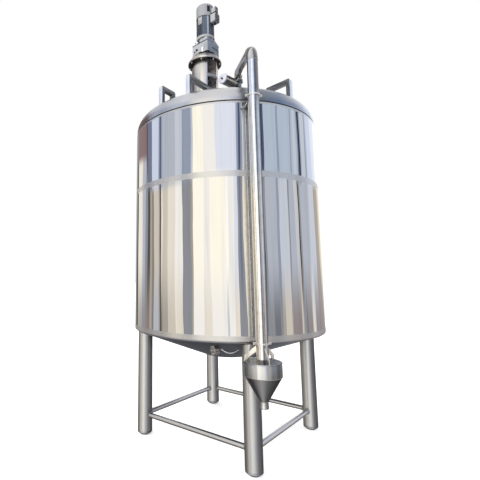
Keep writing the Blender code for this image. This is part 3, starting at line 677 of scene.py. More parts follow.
class Solid:
    """A mesh on the bench, worked as by hand with Blender's own operators."""

    def __init__(self, made: bpy.types.Object) -> None:
        """Hold the object that carries the mesh."""
        self.made = made

    def pick(self) -> None:
        """Select this object alone and make it active."""
        bpy.ops.object.select_all(action="DESELECT")
        self.made.select_set(True)
        bpy.context.view_layer.objects.active = self.made

    @staticmethod
    def edit() -> None:
        """Open the active mesh in edit mode with every point selected."""
        bpy.ops.object.mode_set(mode="EDIT")
        bpy.ops.mesh.select_mode(type="VERT")
        bpy.ops.mesh.select_all(action="SELECT")

    def close(self) -> "Solid":
        """Merge doubles, turn every face outwards and leave edit mode.

        Returns:
            The same solid.
        """
        bpy.ops.mesh.select_all(action="SELECT")
        bpy.ops.mesh.remove_doubles(threshold=0.00002)
        bpy.ops.mesh.normals_make_consistent(inside=False)
        bpy.ops.object.mode_set(mode="OBJECT")
        return self

    @classmethod
    def line(cls, points: Sequence[Vector]) -> "Solid":
        """Draw a chain of edges, and stay in edit mode with all of it selected.

        Args:
            points: Places of the chain's points.

        Returns:
            The chain.
        """
        bpy.ops.object.select_all(action="DESELECT")
        bpy.ops.mesh.primitive_plane_add(size=0.01, location=points[0])
        cls.edit()
        bpy.ops.mesh.merge(type="CENTER")
        for before, after in zip(points, points[1:]):
            bpy.ops.mesh.extrude_vertices_move(TRANSFORM_OT_translate={"value": after - before})
        bpy.ops.mesh.select_all(action="SELECT")
        return cls(bpy.context.object)

    @classmethod
    def turned(cls, profile: Profile, base: Vector, steps: int, axis: Vector = UP) -> "Solid":
        """Spin a profile about an axis.

        Args:
            profile: Points of (radius, height along the axis).
            base: Point on the axis at height 0.
            steps: Number of steps in the full turn.
            axis: Direction of the axis.

        Returns:
            The turned solid.
        """
        side = Vector((1.0, 0.0, 0.0)) if abs(axis.z) > 0.999 else axis.orthogonal().normalized()
        made = cls.line([base + side * radius + axis * height for radius, height in profile])
        bpy.ops.mesh.spin(steps=steps, angle=math.tau, center=base, axis=axis)
        return made.close()

    @classmethod
    def slab(cls, outline: Sequence[Vector], depth: Vector) -> "Solid":
        """Fill an outline and extrude it.

        Args:
            outline: Corners of the outline, in order.
            depth: How far and which way it is extruded.

        Returns:
            The slab.
        """
        made = cls.line(outline)
        bpy.ops.mesh.edge_face_add()
        bpy.ops.mesh.extrude_region_move(TRANSFORM_OT_translate={"value": depth})
        return made.close()

    @classmethod
    def block(cls, middle: Vector, size: Sequence[float], turn: float = 0.0) -> "Solid":
        """Model a block.

        Args:
            middle: Its centre.
            size: Lengths of its sides.
            turn: Azimuth that its front faces.

        Returns:
            The block.
        """
        bpy.ops.object.select_all(action="DESELECT")
        bpy.ops.mesh.primitive_cube_add(size=1.0, location=middle, rotation=(0.0, 0.0, math.radians(turn)))
        bpy.context.object.scale = size
        return cls(bpy.context.object)

    @classmethod
    def tube(cls, route: Sequence[Vector], radius: float, sides: int, closed: bool = False) -> "Solid":
        """Run a round tube or bead along a route.

        Args:
            route: Points that the middle of the tube follows.
            radius: Outside radius.
            sides: Faces to a quarter of the section, less one.
            closed: Whether the route joins up.

        Returns:
            The tube.
        """
        bpy.ops.object.select_all(action="DESELECT")
        bpy.ops.curve.primitive_nurbs_path_add(location=(0.0, 0.0, 0.0))
        curve = bpy.context.object.data
        curve.splines.clear()
        spline = curve.splines.new("POLY")
        spline.points.add(len(route) - 1)
        for point, place in zip(spline.points, route):
            point.co = (*place, 1.0)
        spline.use_cyclic_u = closed
        curve.dimensions = "3D"
        curve.twist_mode = "MINIMUM"
        curve.bevel_depth = radius
        curve.bevel_resolution = sides
        curve.use_fill_caps = not closed
        bpy.ops.object.convert(target="MESH")
        cls.edit()
        return cls(bpy.context.object).close()

    def opened(self) -> "Solid":
        """Take off the faces at a tube's ends, which are the ones with more than four corners.

        Returns:
            The same solid.
        """
        self.edit()
        bpy.ops.mesh.select_all(action="DESELECT")
        bpy.ops.mesh.select_mode(type="FACE")
        bpy.ops.object.mode_set(mode="OBJECT")
        for face in self.made.data.polygons:
            face.select = len(face.vertices) > 4
        bpy.ops.object.mode_set(mode="EDIT")
        bpy.ops.mesh.delete(type="ONLY_FACE")
        bpy.ops.object.mode_set(mode="OBJECT")
        return self

    @classmethod
    def copied(cls, node: str) -> "Solid":
        """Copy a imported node's mesh, with its loose triangles merged into whole faces.

        Args:
            node: Name of the node.

        Returns:
            The copy.
        """
        copy = cls(bpy.data.objects.new(f"{node}_copy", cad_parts[node].data.copy()))
        bpy.context.scene.collection.objects.link(copy.made)
        copy.pick()
        cls.edit()
        bpy.ops.mesh.remove_doubles(threshold=0.00002)
        bpy.ops.mesh.dissolve_limited(angle_limit=math.radians(0.5))
        bpy.ops.object.mode_set(mode="OBJECT")
        return copy

    @staticmethod
    def joined(parts: Sequence["Solid"]) -> "Solid":
        """Join several solids.

        Args:
            parts: The solids.

        Returns:
            The first, with the others in it.
        """
        parts[0].pick()
        for part in parts:
            part.made.select_set(True)
        bpy.ops.object.join()
        return parts[0]

    def repeat(self, places: Sequence[Matrix]) -> "Solid":
        """Copy this solid, modelled at the origin, to each place, and join the copies.

        Args:
            places: Where the copies go.

        Returns:
            The copies, as one solid.
        """
        copies = []
        for place in places:
            copy = self.made.copy()
            copy.data = self.made.data.copy()
            bpy.context.scene.collection.objects.link(copy)
            copy.matrix_world = place
            copies.append(Solid(copy))
        bpy.data.objects.remove(self.made)
        return self.joined(copies)

    def modify(self, kind: str, **settings: Any) -> "Solid":
        """Add a modifier and apply it.

        Args:
            kind: Blender's name of the modifier's type.
            settings: Its settings.

        Returns:
            The same solid.
        """
        self.pick()
        bpy.ops.object.transform_apply(location=True, rotation=True, scale=True)
        bpy.ops.object.modifier_add(type=kind)
        modifier = self.made.modifiers[-1]
        for name, value in settings.items():
            setattr(modifier, name, value)
        bpy.ops.object.modifier_apply(modifier=modifier.name)
        return self

    def soften(self, width: float, segments: int = 2) -> "Solid":
        """Round the sharp edges."""
        limits = {"limit_method": "ANGLE", "angle_limit": math.radians(40.0)}
        return self.modify("BEVEL", width=width, segments=segments, **limits)

    def dress(self, name: str, finish: Finish, *nodes: str, slot: Slot | None = None, body: Body = Body.TANK,
              smooth: float = 32.0) -> None:
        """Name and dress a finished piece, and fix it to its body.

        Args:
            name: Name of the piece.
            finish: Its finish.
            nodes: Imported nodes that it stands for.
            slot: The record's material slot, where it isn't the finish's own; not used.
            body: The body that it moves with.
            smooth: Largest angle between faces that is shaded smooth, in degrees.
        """
        self.pick()
        bpy.ops.object.transform_apply(location=True, rotation=True, scale=True)
        bpy.ops.object.shade_smooth_by_angle(angle=math.radians(smooth))
        made = self.made
        made.name = made.data.name = name
        made.data.materials.clear()
        made.data.materials.append(finish.material())
        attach(made, body.value)
        if nodes:
            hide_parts(*nodes)
        LOG.info("%s: %d faces, %s", name, len(made.data.polygons), finish.name)


def weld(name: str, route: Sequence[Vector], size: float, finish: Finish = WELD) -> None:
    """Lay a closed weld bead along a route."""
    Solid.tube(route, size, 2, closed=True).dress(name, finish, smooth=60.0)


@dataclass(frozen=True)
class HexBolt:
    """Hexagon head bolt on a washer, modelled once along +Z and copied."""

    size: float
    height: float

    def place(self, name: str, spots: Sequence[tuple[Vector, Vector]], slot: Slot = Slot.FITTINGS,
              body: Body = Body.TANK) -> None:
        """Stand a bolt on each spot.

        Args:
            name: Name of the piece that the bolts make up.
            spots: Places and directions of the bolts.
            slot: The record's material slot.
            body: The body that they move with.
        """
        bpy.ops.object.select_all(action="DESELECT")
        bpy.ops.mesh.primitive_cylinder_add(vertices=6, radius=self.size, depth=self.height,
                                            location=UP * (self.height / 2 + self.size * 0.2))
        head = Solid(bpy.context.object).soften(self.size * 0.12)
        washer = [(0.0, 0.0), (1.45, 0.0), (1.45, 0.16), (1.35, 0.24), (0.0, 0.24)]
        washer = Solid.turned([(self.size * radius, self.size * high) for radius, high in washer], Vector(), 20)
        places = [Matrix.Translation(spot) @ way.to_track_quat("Z", "Y").to_matrix().to_4x4() for spot, way in spots]
        Solid.joined([head, washer]).repeat(places).dress(name, BOLT_STEEL, slot=slot, body=body)


# The tank


@dataclass(frozen=True)
class TankShape:
    """Outline of the head and of the underside, which other pieces stand on or hang from."""

    inset: float = 0.002
    skirt: float = 0.020
    knuckle: float = 0.125
    crown: float = 1.500
    bend: float = 0.018
    flat_radius: float = 0.185
    flat_height: float = 0.612

    @property
    def rim(self) -> float:
        """Radius at which the cone meets the bend under the jacket."""
        return SHELL_RADIUS - self.bend

    def arcs(self) -> tuple[tuple[float, float], tuple[float, float], float]:
        """Work out the head's arcs.

        Returns:
            The centres of the knuckle and of the crown, and the angle at which they meet, in degrees.
        """
        knuckle = (SHELL_RADIUS - self.inset - self.knuckle, SHELL_TOP + self.skirt)
        between = self.crown - self.knuckle
        middle = (0.0, knuckle[1] - math.sqrt(between ** 2 - knuckle[0] ** 2))
        return knuckle, middle, math.degrees(math.acos(knuckle[0] / between))

    def head(self, inwards: float, low_steps: int, high_steps: int) -> Profile:
        """Profile of the head from its skirt to the axis.

        Args:
            inwards: How far it is moved inwards.
            low_steps: Steps on the knuckle.
            high_steps: Steps on the crown.

        Returns:
            The points.
        """
        knuckle, crown, angle = self.arcs()
        points = arc(knuckle, self.knuckle - inwards, 0.0, angle, low_steps)
        points += arc(crown, self.crown - inwards, angle, 90.0, high_steps)[1:]
        return points[:-1] + [(0.0, points[-1][1])]

    def crown_height(self, place: Vector) -> float:
        """Height of the crown above a place in plan."""
        return self.arcs()[1][1] + math.sqrt(self.crown ** 2 - (place - AXIS).xy.length ** 2)

    def underside(self, place: Vector) -> float:
        """Height of the tank's underside above a place in plan.

        Args:
            place: The place.

        Returns:
            The height.
        """
        reach = (place - AXIS).xy.length
        if reach > self.rim:
            return SHELL_BOTTOM + self.bend - math.sqrt(self.bend ** 2 - (reach - self.rim) ** 2)
        share = max(0.0, (reach - self.flat_radius) / (self.rim - self.flat_radius))
        return self.flat_height + share * (SHELL_BOTTOM - self.flat_height)

    def on_crown(self, centre: Vector, radius: float, steps: int = 48) -> list[Vector]:
        """Lay a circle on the crown."""
        return [Vector((p.x, p.y, self.crown_height(p) + 0.001)) for p in circle(centre, radius, steps=steps)]


SHAPE = TankShape()


@dataclass
class TankBody:
    """Polished jacket, dished head and coned bottom."""

    wall: float = 0.005
    seam: float = 0.004
    lip: float = 0.003
    steps: int = 192

    def build(self) -> None:
        """Build the body from the jacket outwards."""
        for step in (self.jacket, self.gasket, self.head, self.cone):
            step()

    def jacket(self) -> None:
        """Turn the jacket with a rounded lip and rolled lower edge; rows beside them keep its wall's shading flat."""
        top = SHELL_TOP - self.seam
        corner = (SHAPE.rim, SHELL_BOTTOM + SHAPE.bend)
        inside = SHELL_RADIUS - self.wall
        profile = [(inside, top), *arc((SHELL_RADIUS - self.lip, top - self.lip), self.lip, 90.0, 0.0, 4),
                   (SHELL_RADIUS, top - self.lip * 2.0), (SHELL_RADIUS, corner[1] + self.lip),
                   *arc(corner, SHAPE.bend, 0.0, -90.0, 10), *arc(corner, SHAPE.bend - self.wall, -90.0, 0.0, 6),
                   (inside, top)]
        Solid.turned(profile, AXIS, self.steps).dress("jacket_skin", JACKET, "jacket_shell")

    def gasket(self) -> None:
        """Fill the seam between jacket and head with a dark ring, set back from the surface."""
        outer = SHELL_RADIUS - self.lip
        inner = outer - 0.012
        low, high = SHELL_TOP - self.seam * 2.0, SHELL_TOP + self.seam * 2.0
        profile = [(inner, low), (outer, low), (outer + 0.001, SHELL_TOP), (outer, high), (inner, high), (inner, low)]
        Solid.turned(profile, AXIS, self.steps).dress("seam_gasket", GASKET)

    def head(self) -> None:
        """Turn the dished head with its rolled edge, both sides."""
        radius, low = SHELL_RADIUS - SHAPE.inset, SHELL_TOP + self.seam
        start = (radius - self.wall, low)
        profile = [start, *arc((radius - 0.003, low + 0.003), 0.003, -90.0, 0.0, 3), *SHAPE.head(0.0, 14, 18),
                   *reversed(SHAPE.head(self.wall, 8, 10)), start]
        Solid.turned(profile, AXIS, self.steps).dress("dished_head", HEAD_SATIN, "top_head")

    def cone(self) -> None:
        """Turn the coned bottom with a soft bend at its flat, and weld it to the jacket."""
        rim, flat, near, bend = SHAPE.rim - 0.0005, SHAPE.flat_height, SHAPE.flat_radius, 0.012
        rise = flat + bend * (SHELL_BOTTOM - flat) / (rim - near)
        profile = [(0.0, flat), (near - bend, flat), (near, flat + (rise - flat) * 0.3), (near + bend, rise),
                   (rim, SHELL_BOTTOM), (rim, SHELL_BOTTOM + self.wall), (near + bend, rise + self.wall),
                   (near - bend, flat + self.wall), (0.0, flat + self.wall)]
        Solid.turned(profile, AXIS, 144).dress("coned_bottom", CONE_SATIN, "bottom_cone")
        route = circle(AXIS + UP * (SHELL_BOTTOM + 0.0005), SHAPE.rim, steps=self.steps)
        weld("cone_rim_weld", route, 0.0014, FITTING_SATIN)


@dataclass
class Stand:
    """Four tube legs with tapered feet, tied by four bars."""

    legs: tuple[tuple[str, float], ...] = (("front", 0.0), ("right", -8.0), ("back", 6.0), ("left", 12.0))
    tip: float = 0.036
    bead: float = 0.0035

    def build(self) -> None:
        """Build the legs, each with how far its painted light and shade are turned, and the bars between neighbours.
        """
        for side, turn in self.legs:
            self.leg(side, turn)
        for (first, _), (second, _) in zip(self.legs, self.legs[1:] + self.legs[:1]):
            self.tie_bar(first, second)

    def leg(self, side: str, turn: float) -> None:
        """Turn a leg, weld it under the tank, and turn its tapered foot with a groove at its top.

        Args:
            side: Name of the leg.
            turn: How far round its painted light and shade are turned.
        """
        box, foot = Box(f"leg_{side}"), Box(f"foot_{side}")
        painted_light = PaintedLight(box.axis, LEG_PAINTED_LIGHT, turn)
        finish = SatinSteel(f"leg_{side}_brushed", roughness=0.32, painted_light=painted_light, slot=Slot.LEGS, wear=0.2, depth=0.00001)
        post = Solid.turned(box.profile([(0.003, 0.0), (0.0, 0.003)], [(0.0, -0.004)]), box.axis, 64)
        post.dress(f"leg_{side}_tube", finish, f"leg_{side}")
        ring = circle(box.axis, box.radius + 0.001)
        weld(f"leg_{side}_weld", [Vector((p.x, p.y, SHAPE.underside(p) - 0.001)) for p in ring], self.bead)
        taper = foot.radius - self.tip
        profile = foot.profile([(taper + 0.003, 0.0), (taper, 0.002), (0.005, foot.high.z * 0.55)],
                               [(0.001, 0.009), (0.0, 0.006), (0.0, 0.002), (0.002, 0.0)])
        Solid.turned(profile, box.axis, 64).dress(f"foot_{side}_turned", finish, f"foot_{side}")

    def tie_bar(self, first: str, second: str) -> None:
        """Run a bar between two legs, with a weld at each end.

        Args:
            first: Leg at its start.
            second: Leg at its end.
        """
        node = f"tie_bar_{first}_{second}"
        box = Box(node)
        radius = box.size.z / 2.0
        start, end = (Box(f"leg_{side}").axis + UP * box.middle.z for side in (first, second))
        along = (end - start).normalized()
        inset = along * (Box(f"leg_{first}").radius - 0.002)
        Solid.tube([start + inset, end - inset], radius, 10).dress(f"{node}_rod", TIE_STEEL, node)
        for label, place in (("start", start + inset + along * 0.003), ("end", end - inset - along * 0.003)):
            weld(f"{node}_weld_{label}", circle(place, radius + 0.001, along, 24), self.bead)


@dataclass
class SidePort:
    """Bolted side port under the cone, and the small bent tube beside it."""

    azimuth: float = -19.0
    reach: float = 0.610
    height: float = 0.749
    facing: float = -76.0
    radius: float = 0.034
    length: float = 0.028
    lid_radius: float = 0.036
    lid: float = 0.010

    def build(self) -> None:
        """Turn the neck and the lid, bolt the lid on, and bend the tube."""
        way = outward(self.facing)
        start = AXIS + outward(self.azimuth) * self.reach + UP * self.height
        radius, wide, low, high = self.radius, self.lid_radius, self.length, self.length + self.lid
        neck = [(0.0, 0.0), (radius - 0.002, 0.0), (radius, 0.002), (radius, low - 0.006),
                (radius + 0.0015, low - 0.005), (radius + 0.0015, low), (0.0, low)]
        Solid.turned(neck, start, 40, way).dress("port_neck", FITTING_SATIN, "port_barrel")
        lid = [(0.0, low), (wide - 0.002, low), (wide, low + 0.002), (wide, high - 0.002), (wide - 0.002, high),
               (0.014, high), (0.012, high - 0.002), (0.0, high - 0.002)]
        Solid.turned(lid, start, 48, way).dress("port_lid", FITTING_SATIN, "port_cover")
        spots = circle(start + way * high, wide * 0.76, way, 6)
        HexBolt(0.0052, 0.006).place("port_bolts", [(spot, way) for spot in spots])
        self.bent_tube()

    def bent_tube(self, steps: int = 24) -> None:
        """Bend the small tube that dips below the cone.

        Args:
            steps: Steps along it.
        """
        route = []
        for share in (step / steps for step in range(steps + 1)):
            place = AXIS + outward(-18.5 + 15.5 * share) * 0.530
            route.append(place + UP * (SHAPE.underside(place) + 0.010 - 0.032 * math.sin(math.pi * share)))
        lift = UP * (Box("small_bent_tube").low.z + 0.006 - min(point.z for point in route))
        tube = Solid.tube([point + lift for point in route], 0.006, 4)
        tube.dress("bent_sample_tube", TUBE_MIRROR, "small_bent_tube")


@dataclass
class OverflowLine:
    """Overflow pipe from the crown over the rim, down to its drain funnel."""

    wall: float = 0.002
    rim_height: float = 2.797
    rim_bend: float = 0.114
    inner_height: float = 3.125
    inner_bend: float = 0.060
    sheet: float = 0.003

    def build(self) -> None:
        """Build the pipe, its clamps, and the funnel on its straps."""
        radius = PIPE_BOX.radius
        corners = (PIPE_AXIS + UP * self.rim_height, NOZZLE_AXIS + UP * self.inner_height)
        run = (corners[1] - corners[0]).normalized()
        rim = self.bend(corners[0], UP, run, self.rim_bend, 16)
        inner = self.bend(corners[1], run, -UP, self.inner_bend, 20)
        foot = PIPE_AXIS + UP * PIPE_BOX.low.z
        for node, route, finish in (("drop_pipe", [foot, rim[0]], PIPE_MIRROR), ("rim_bend", rim, RIM_MIRROR),
                                    ("crossover_pipe", [rim[-1], inner[0]], RUN_MIRROR),
                                    ("inner_bend", inner, RUN_MIRROR)):
            pipe = Solid.tube(route, radius, 12).opened().modify("SOLIDIFY", thickness=self.wall, offset=-1.0)
            pipe.dress(f"{node}_polished", finish, node, smooth=50.0)
        for number, (place, way) in enumerate(((rim[0], UP), (rim[-1], run), (inner[0], run)), 1):
            weld(f"pipe_weld_{number}", circle(place, radius - 0.0006, way, 40), 0.0018)
        for node in ("pipe_clamp_upper", "pipe_clamp_lower"):
            self.clamp(node)
        self.funnel()

    @staticmethod
    def bend(corner: Vector, arrive: Vector, leave: Vector, radius: float, steps: int) -> list[Vector]:
        """Round a corner of the pipe.

        Args:
            corner: Where the two straight runs would meet.
            arrive: Direction of the first run.
            leave: Direction of the second run.
            radius: Radius of the bend.
            steps: Number of steps.

        Returns:
            The points of the arc.
        """
        turn = arrive.angle(leave)
        inward = (leave - arrive * leave.dot(arrive)).normalized()
        centre = corner - arrive * radius * math.tan(turn / 2.0) + inward * radius
        angles = [turn * step / steps for step in range(steps + 1)]
        return [centre - inward * radius * math.cos(a) + arrive * radius * math.sin(a) for a in angles]

    @staticmethod
    def clamp(node: str) -> None:
        """Round the edges of a pipe clamp and bolt its ears.

        Args:
            node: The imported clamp.
        """
        Solid.copied(node).soften(0.0012).dress(f"{node}_band", BRIGHT_CLAMP, node)
        box = Box(node)
        middle = PIPE_AXIS + UP * box.middle.z
        way = (PIPE_AXIS - AXIS).normalized()
        ear = beside(way) * (box.radius - 0.009)
        spots = [(middle + ear * side + face * 0.005, face) for side in (-1.0, 1.0) for face in (way, -way)]
        HexBolt(0.0055, 0.006).place(f"{node}_bolts", spots)

    def funnel(self) -> None:
        """Turn the funnel's cup with a rolled rim, its cone and its spout, and hang them on straps."""
        cup, cone, spout = Box("funnel_cup"), Box("funnel_cone"), Box("funnel_spout")
        wide, narrow, wall, rim, low = cup.radius, spout.radius, self.sheet, 0.0035, spout.low.z
        profile = [(wide - wall, cup.low.z), (wide, cup.low.z), (wide, cup.high.z - rim * 2.0),
                   *arc((wide - rim + 0.0015, cup.high.z - rim), rim, -60.0, 210.0, 8),
                   (wide - wall, cup.high.z - rim * 2.2), (wide - wall, cup.low.z)]
        Solid.turned(profile, PIPE_AXIS, 96).dress("funnel_cup_rolled", CUP_SATIN, "funnel_cup")
        profile = [(wide, cone.high.z), (narrow, cone.low.z), (narrow - wall, cone.low.z), (wide - wall, cone.high.z),
                   (wide, cone.high.z)]
        Solid.turned(profile, PIPE_AXIS, 96).dress("funnel_cone_sheet", FUNNEL_SATIN, "funnel_cone")
        profile = [(narrow, spout.high.z), (narrow, low + 0.012), (narrow + 0.0012, low + 0.009),
                   (narrow + 0.0012, low + 0.002), (narrow - 0.001, low), (narrow - wall, low),
                   (narrow - wall, spout.high.z), (narrow, spout.high.z)]
        Solid.turned(profile, PIPE_AXIS, 48).dress("funnel_spout_tube", SPOUT_SATIN, "funnel_spout")
        for name, radius, height in (("shoulder", wide, cone.high.z), ("neck", narrow, cone.low.z)):
            weld(f"funnel_{name}_weld", circle(PIPE_AXIS + UP * height, radius - 0.0004, steps=64), 0.0016)
        for node in ("funnel_strap_front", "funnel_strap_right", "funnel_strap_left"):
            Solid.copied(node).soften(0.0008).dress(f"{node}_plate", STRAP_SATIN, node)


@dataclass
class Valve:
    """Valve between the crown's nozzle and the line, clamped at both ends, with its actuator."""

    azimuth: float = -54.0
    start: float = 0.068
    end: float = 0.225
    radius: float = 0.046
    cap: float = 0.014
    waist: float = 0.026

    def build(self) -> None:
        """Build the nozzle, the valve, its clamps and the actuator."""
        self.body()
        for name, height in (("valve_clamp_lower", VALVE_BOX.low.z), ("valve_clamp_upper", VALVE_BOX.high.z)):
            self.clamp(name, height)
        self.actuator()

    def body(self) -> None:
        """Turn the nozzle with its flared end, weld it to the crown, and turn the valve's body with two grooves."""
        low, wide = VALVE_BOX.low.z, VALVE_BOX.radius
        base = SHAPE.crown_height(NOZZLE_AXIS) - 0.010
        neck = [(0.0, base), (0.0255, base), (0.0255, low - 0.018), (wide - 0.006, low - 0.008),
                (wide - 0.003, low - 0.0003), (0.0, low - 0.0003)]
        Solid.turned(neck, NOZZLE_AXIS, 48).dress("nozzle_neck", FITTING_SATIN, "tank_nozzle")
        weld("nozzle_weld", SHAPE.on_crown(NOZZLE_AXIS, 0.0262), 0.0035)
        side = [(0.003, 0.0), (0.003, 0.010), (wide - self.waist, 0.016), (wide - self.waist, 0.022),
                (wide - self.waist - 0.004, 0.024)]
        made = Solid.turned(VALVE_BOX.profile(side, side[::-1]), NOZZLE_AXIS, 48)
        made.dress("valve_housing", VALVE_STEEL, "valve_body")

    def clamp(self, name: str, height: float, facing: float = 20.0) -> None:
        """Turn a clamp's ring and fit its wing nut.

        Args:
            name: Name of the clamp.
            height: Height of its middle.
            facing: Azimuth of the nut.
        """
        half, inner, outer = 0.0085, VALVE_BOX.radius - 0.004, VALVE_BOX.radius + 0.003
        profile = [(inner, -half), (outer - 0.002, -half), (outer, -half + 0.003), (outer, half - 0.003),
                   (outer - 0.002, half), (inner, half), (inner, -half)]
        ring = Solid.turned(profile, NOZZLE_AXIS + UP * height, 48)
        way = outward(facing)
        spot, half_bolt = NOZZLE_AXIS + way * (outer + 0.005) + UP * height, beside(way) * 0.014
        nut = Solid.block(spot, (0.022, 0.014, 0.014), facing).soften(0.002)
        bolt = Solid.tube([spot - half_bolt, spot + half_bolt], 0.003, 4)
        Solid.joined([ring, nut, bolt]).dress(name, VALVE_STEEL, slot=Slot.FITTINGS)

    def actuator(self) -> None:
        """Turn the actuator's barrel and pale end cap, with its air ports and its bracket."""
        way, radius, start, end, near = outward(self.azimuth), self.radius, self.start, self.end, self.end - self.cap
        base = NOZZLE_AXIS + UP * ACTUATOR_HEIGHT
        barrel = [(0.0, start), (radius * 0.55, start), (radius * 0.90, start + 0.004),
                  (radius * 0.97, start + 0.012), (radius * 0.97, near - 0.002), (radius * 0.93, near), (0.0, near)]
        Solid.turned(barrel, base, 56, way).dress("actuator_barrel", DARK_TUBE, "valve_actuator")
        cap = [(0.0, near), (radius, near), (radius, end - 0.004), (radius - 0.004, end), (0.016, end),
               (0.014, end - 0.002), (0.0, end - 0.002)]
        Solid.turned(cap, base, 56, way).dress("actuator_cap", PALE_CAP)
        face = base + way * (end - 0.001)
        outline = ((-0.017, 0.010), (-0.009, 0.014), (-0.001, 0.009), (0.001, 0.001), (0.008, -0.001),
                   (0.013, -0.007), (0.009, -0.014), (0.001, -0.013), (-0.004, -0.005), (-0.014, -0.001))
        mark = Solid.slab([face + beside(way) * x + UP * z for x, z in outline], way * 0.002)
        mark.dress("actuator_indicator", NAVY_MARK)
        port = [(0.0, 0.0), (0.007, 0.0), (0.007, 0.010), (0.0055, 0.012), (0.0055, 0.018), (0.0, 0.018)]
        spots = [base + way * (start + shift) + UP * radius * 0.9 for shift in (0.05, 0.11)]
        Solid.joined([Solid.turned(port, spot, 24) for spot in spots]).dress("actuator_air_ports", DARK_STEEL)
        Solid.copied("actuator_yoke").soften(0.002).dress("actuator_bracket", DARK_STEEL, "actuator_yoke")


@dataclass
class CrownBars:
    """Bent bars on the crown: lifting handles and a pair of guide bars, each facing an azimuth."""

    facings: tuple[tuple[str, float], ...] = (
        ("handle_front_right", 36.0), ("handle_rear_right", 144.0), ("handle_rear_left", -144.0),
        ("guide_bar_long", -45.0), ("guide_bar_short", -45.0))

    def build(self) -> None:
        """Round each bar's edges in brushed steel, dark as painted shade, with a painted highlight on its outward
        end.
        """
        for node, facing in self.facings:
            reach = max(outward(facing).dot(point.co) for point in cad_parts[node].data.vertices)
            # the dark tint is painted shade and the light end a painted highlight
            finish = SatinSteel(f"{node}_satin", (0.20, 0.20, 0.21), 0.30, grain=Grain.LEVEL, wear=0.5,
                                end=(facing, reach))
            Solid.copied(node).soften(0.0032, 3).dress(f"{node}_bar", finish, node)


# The drive


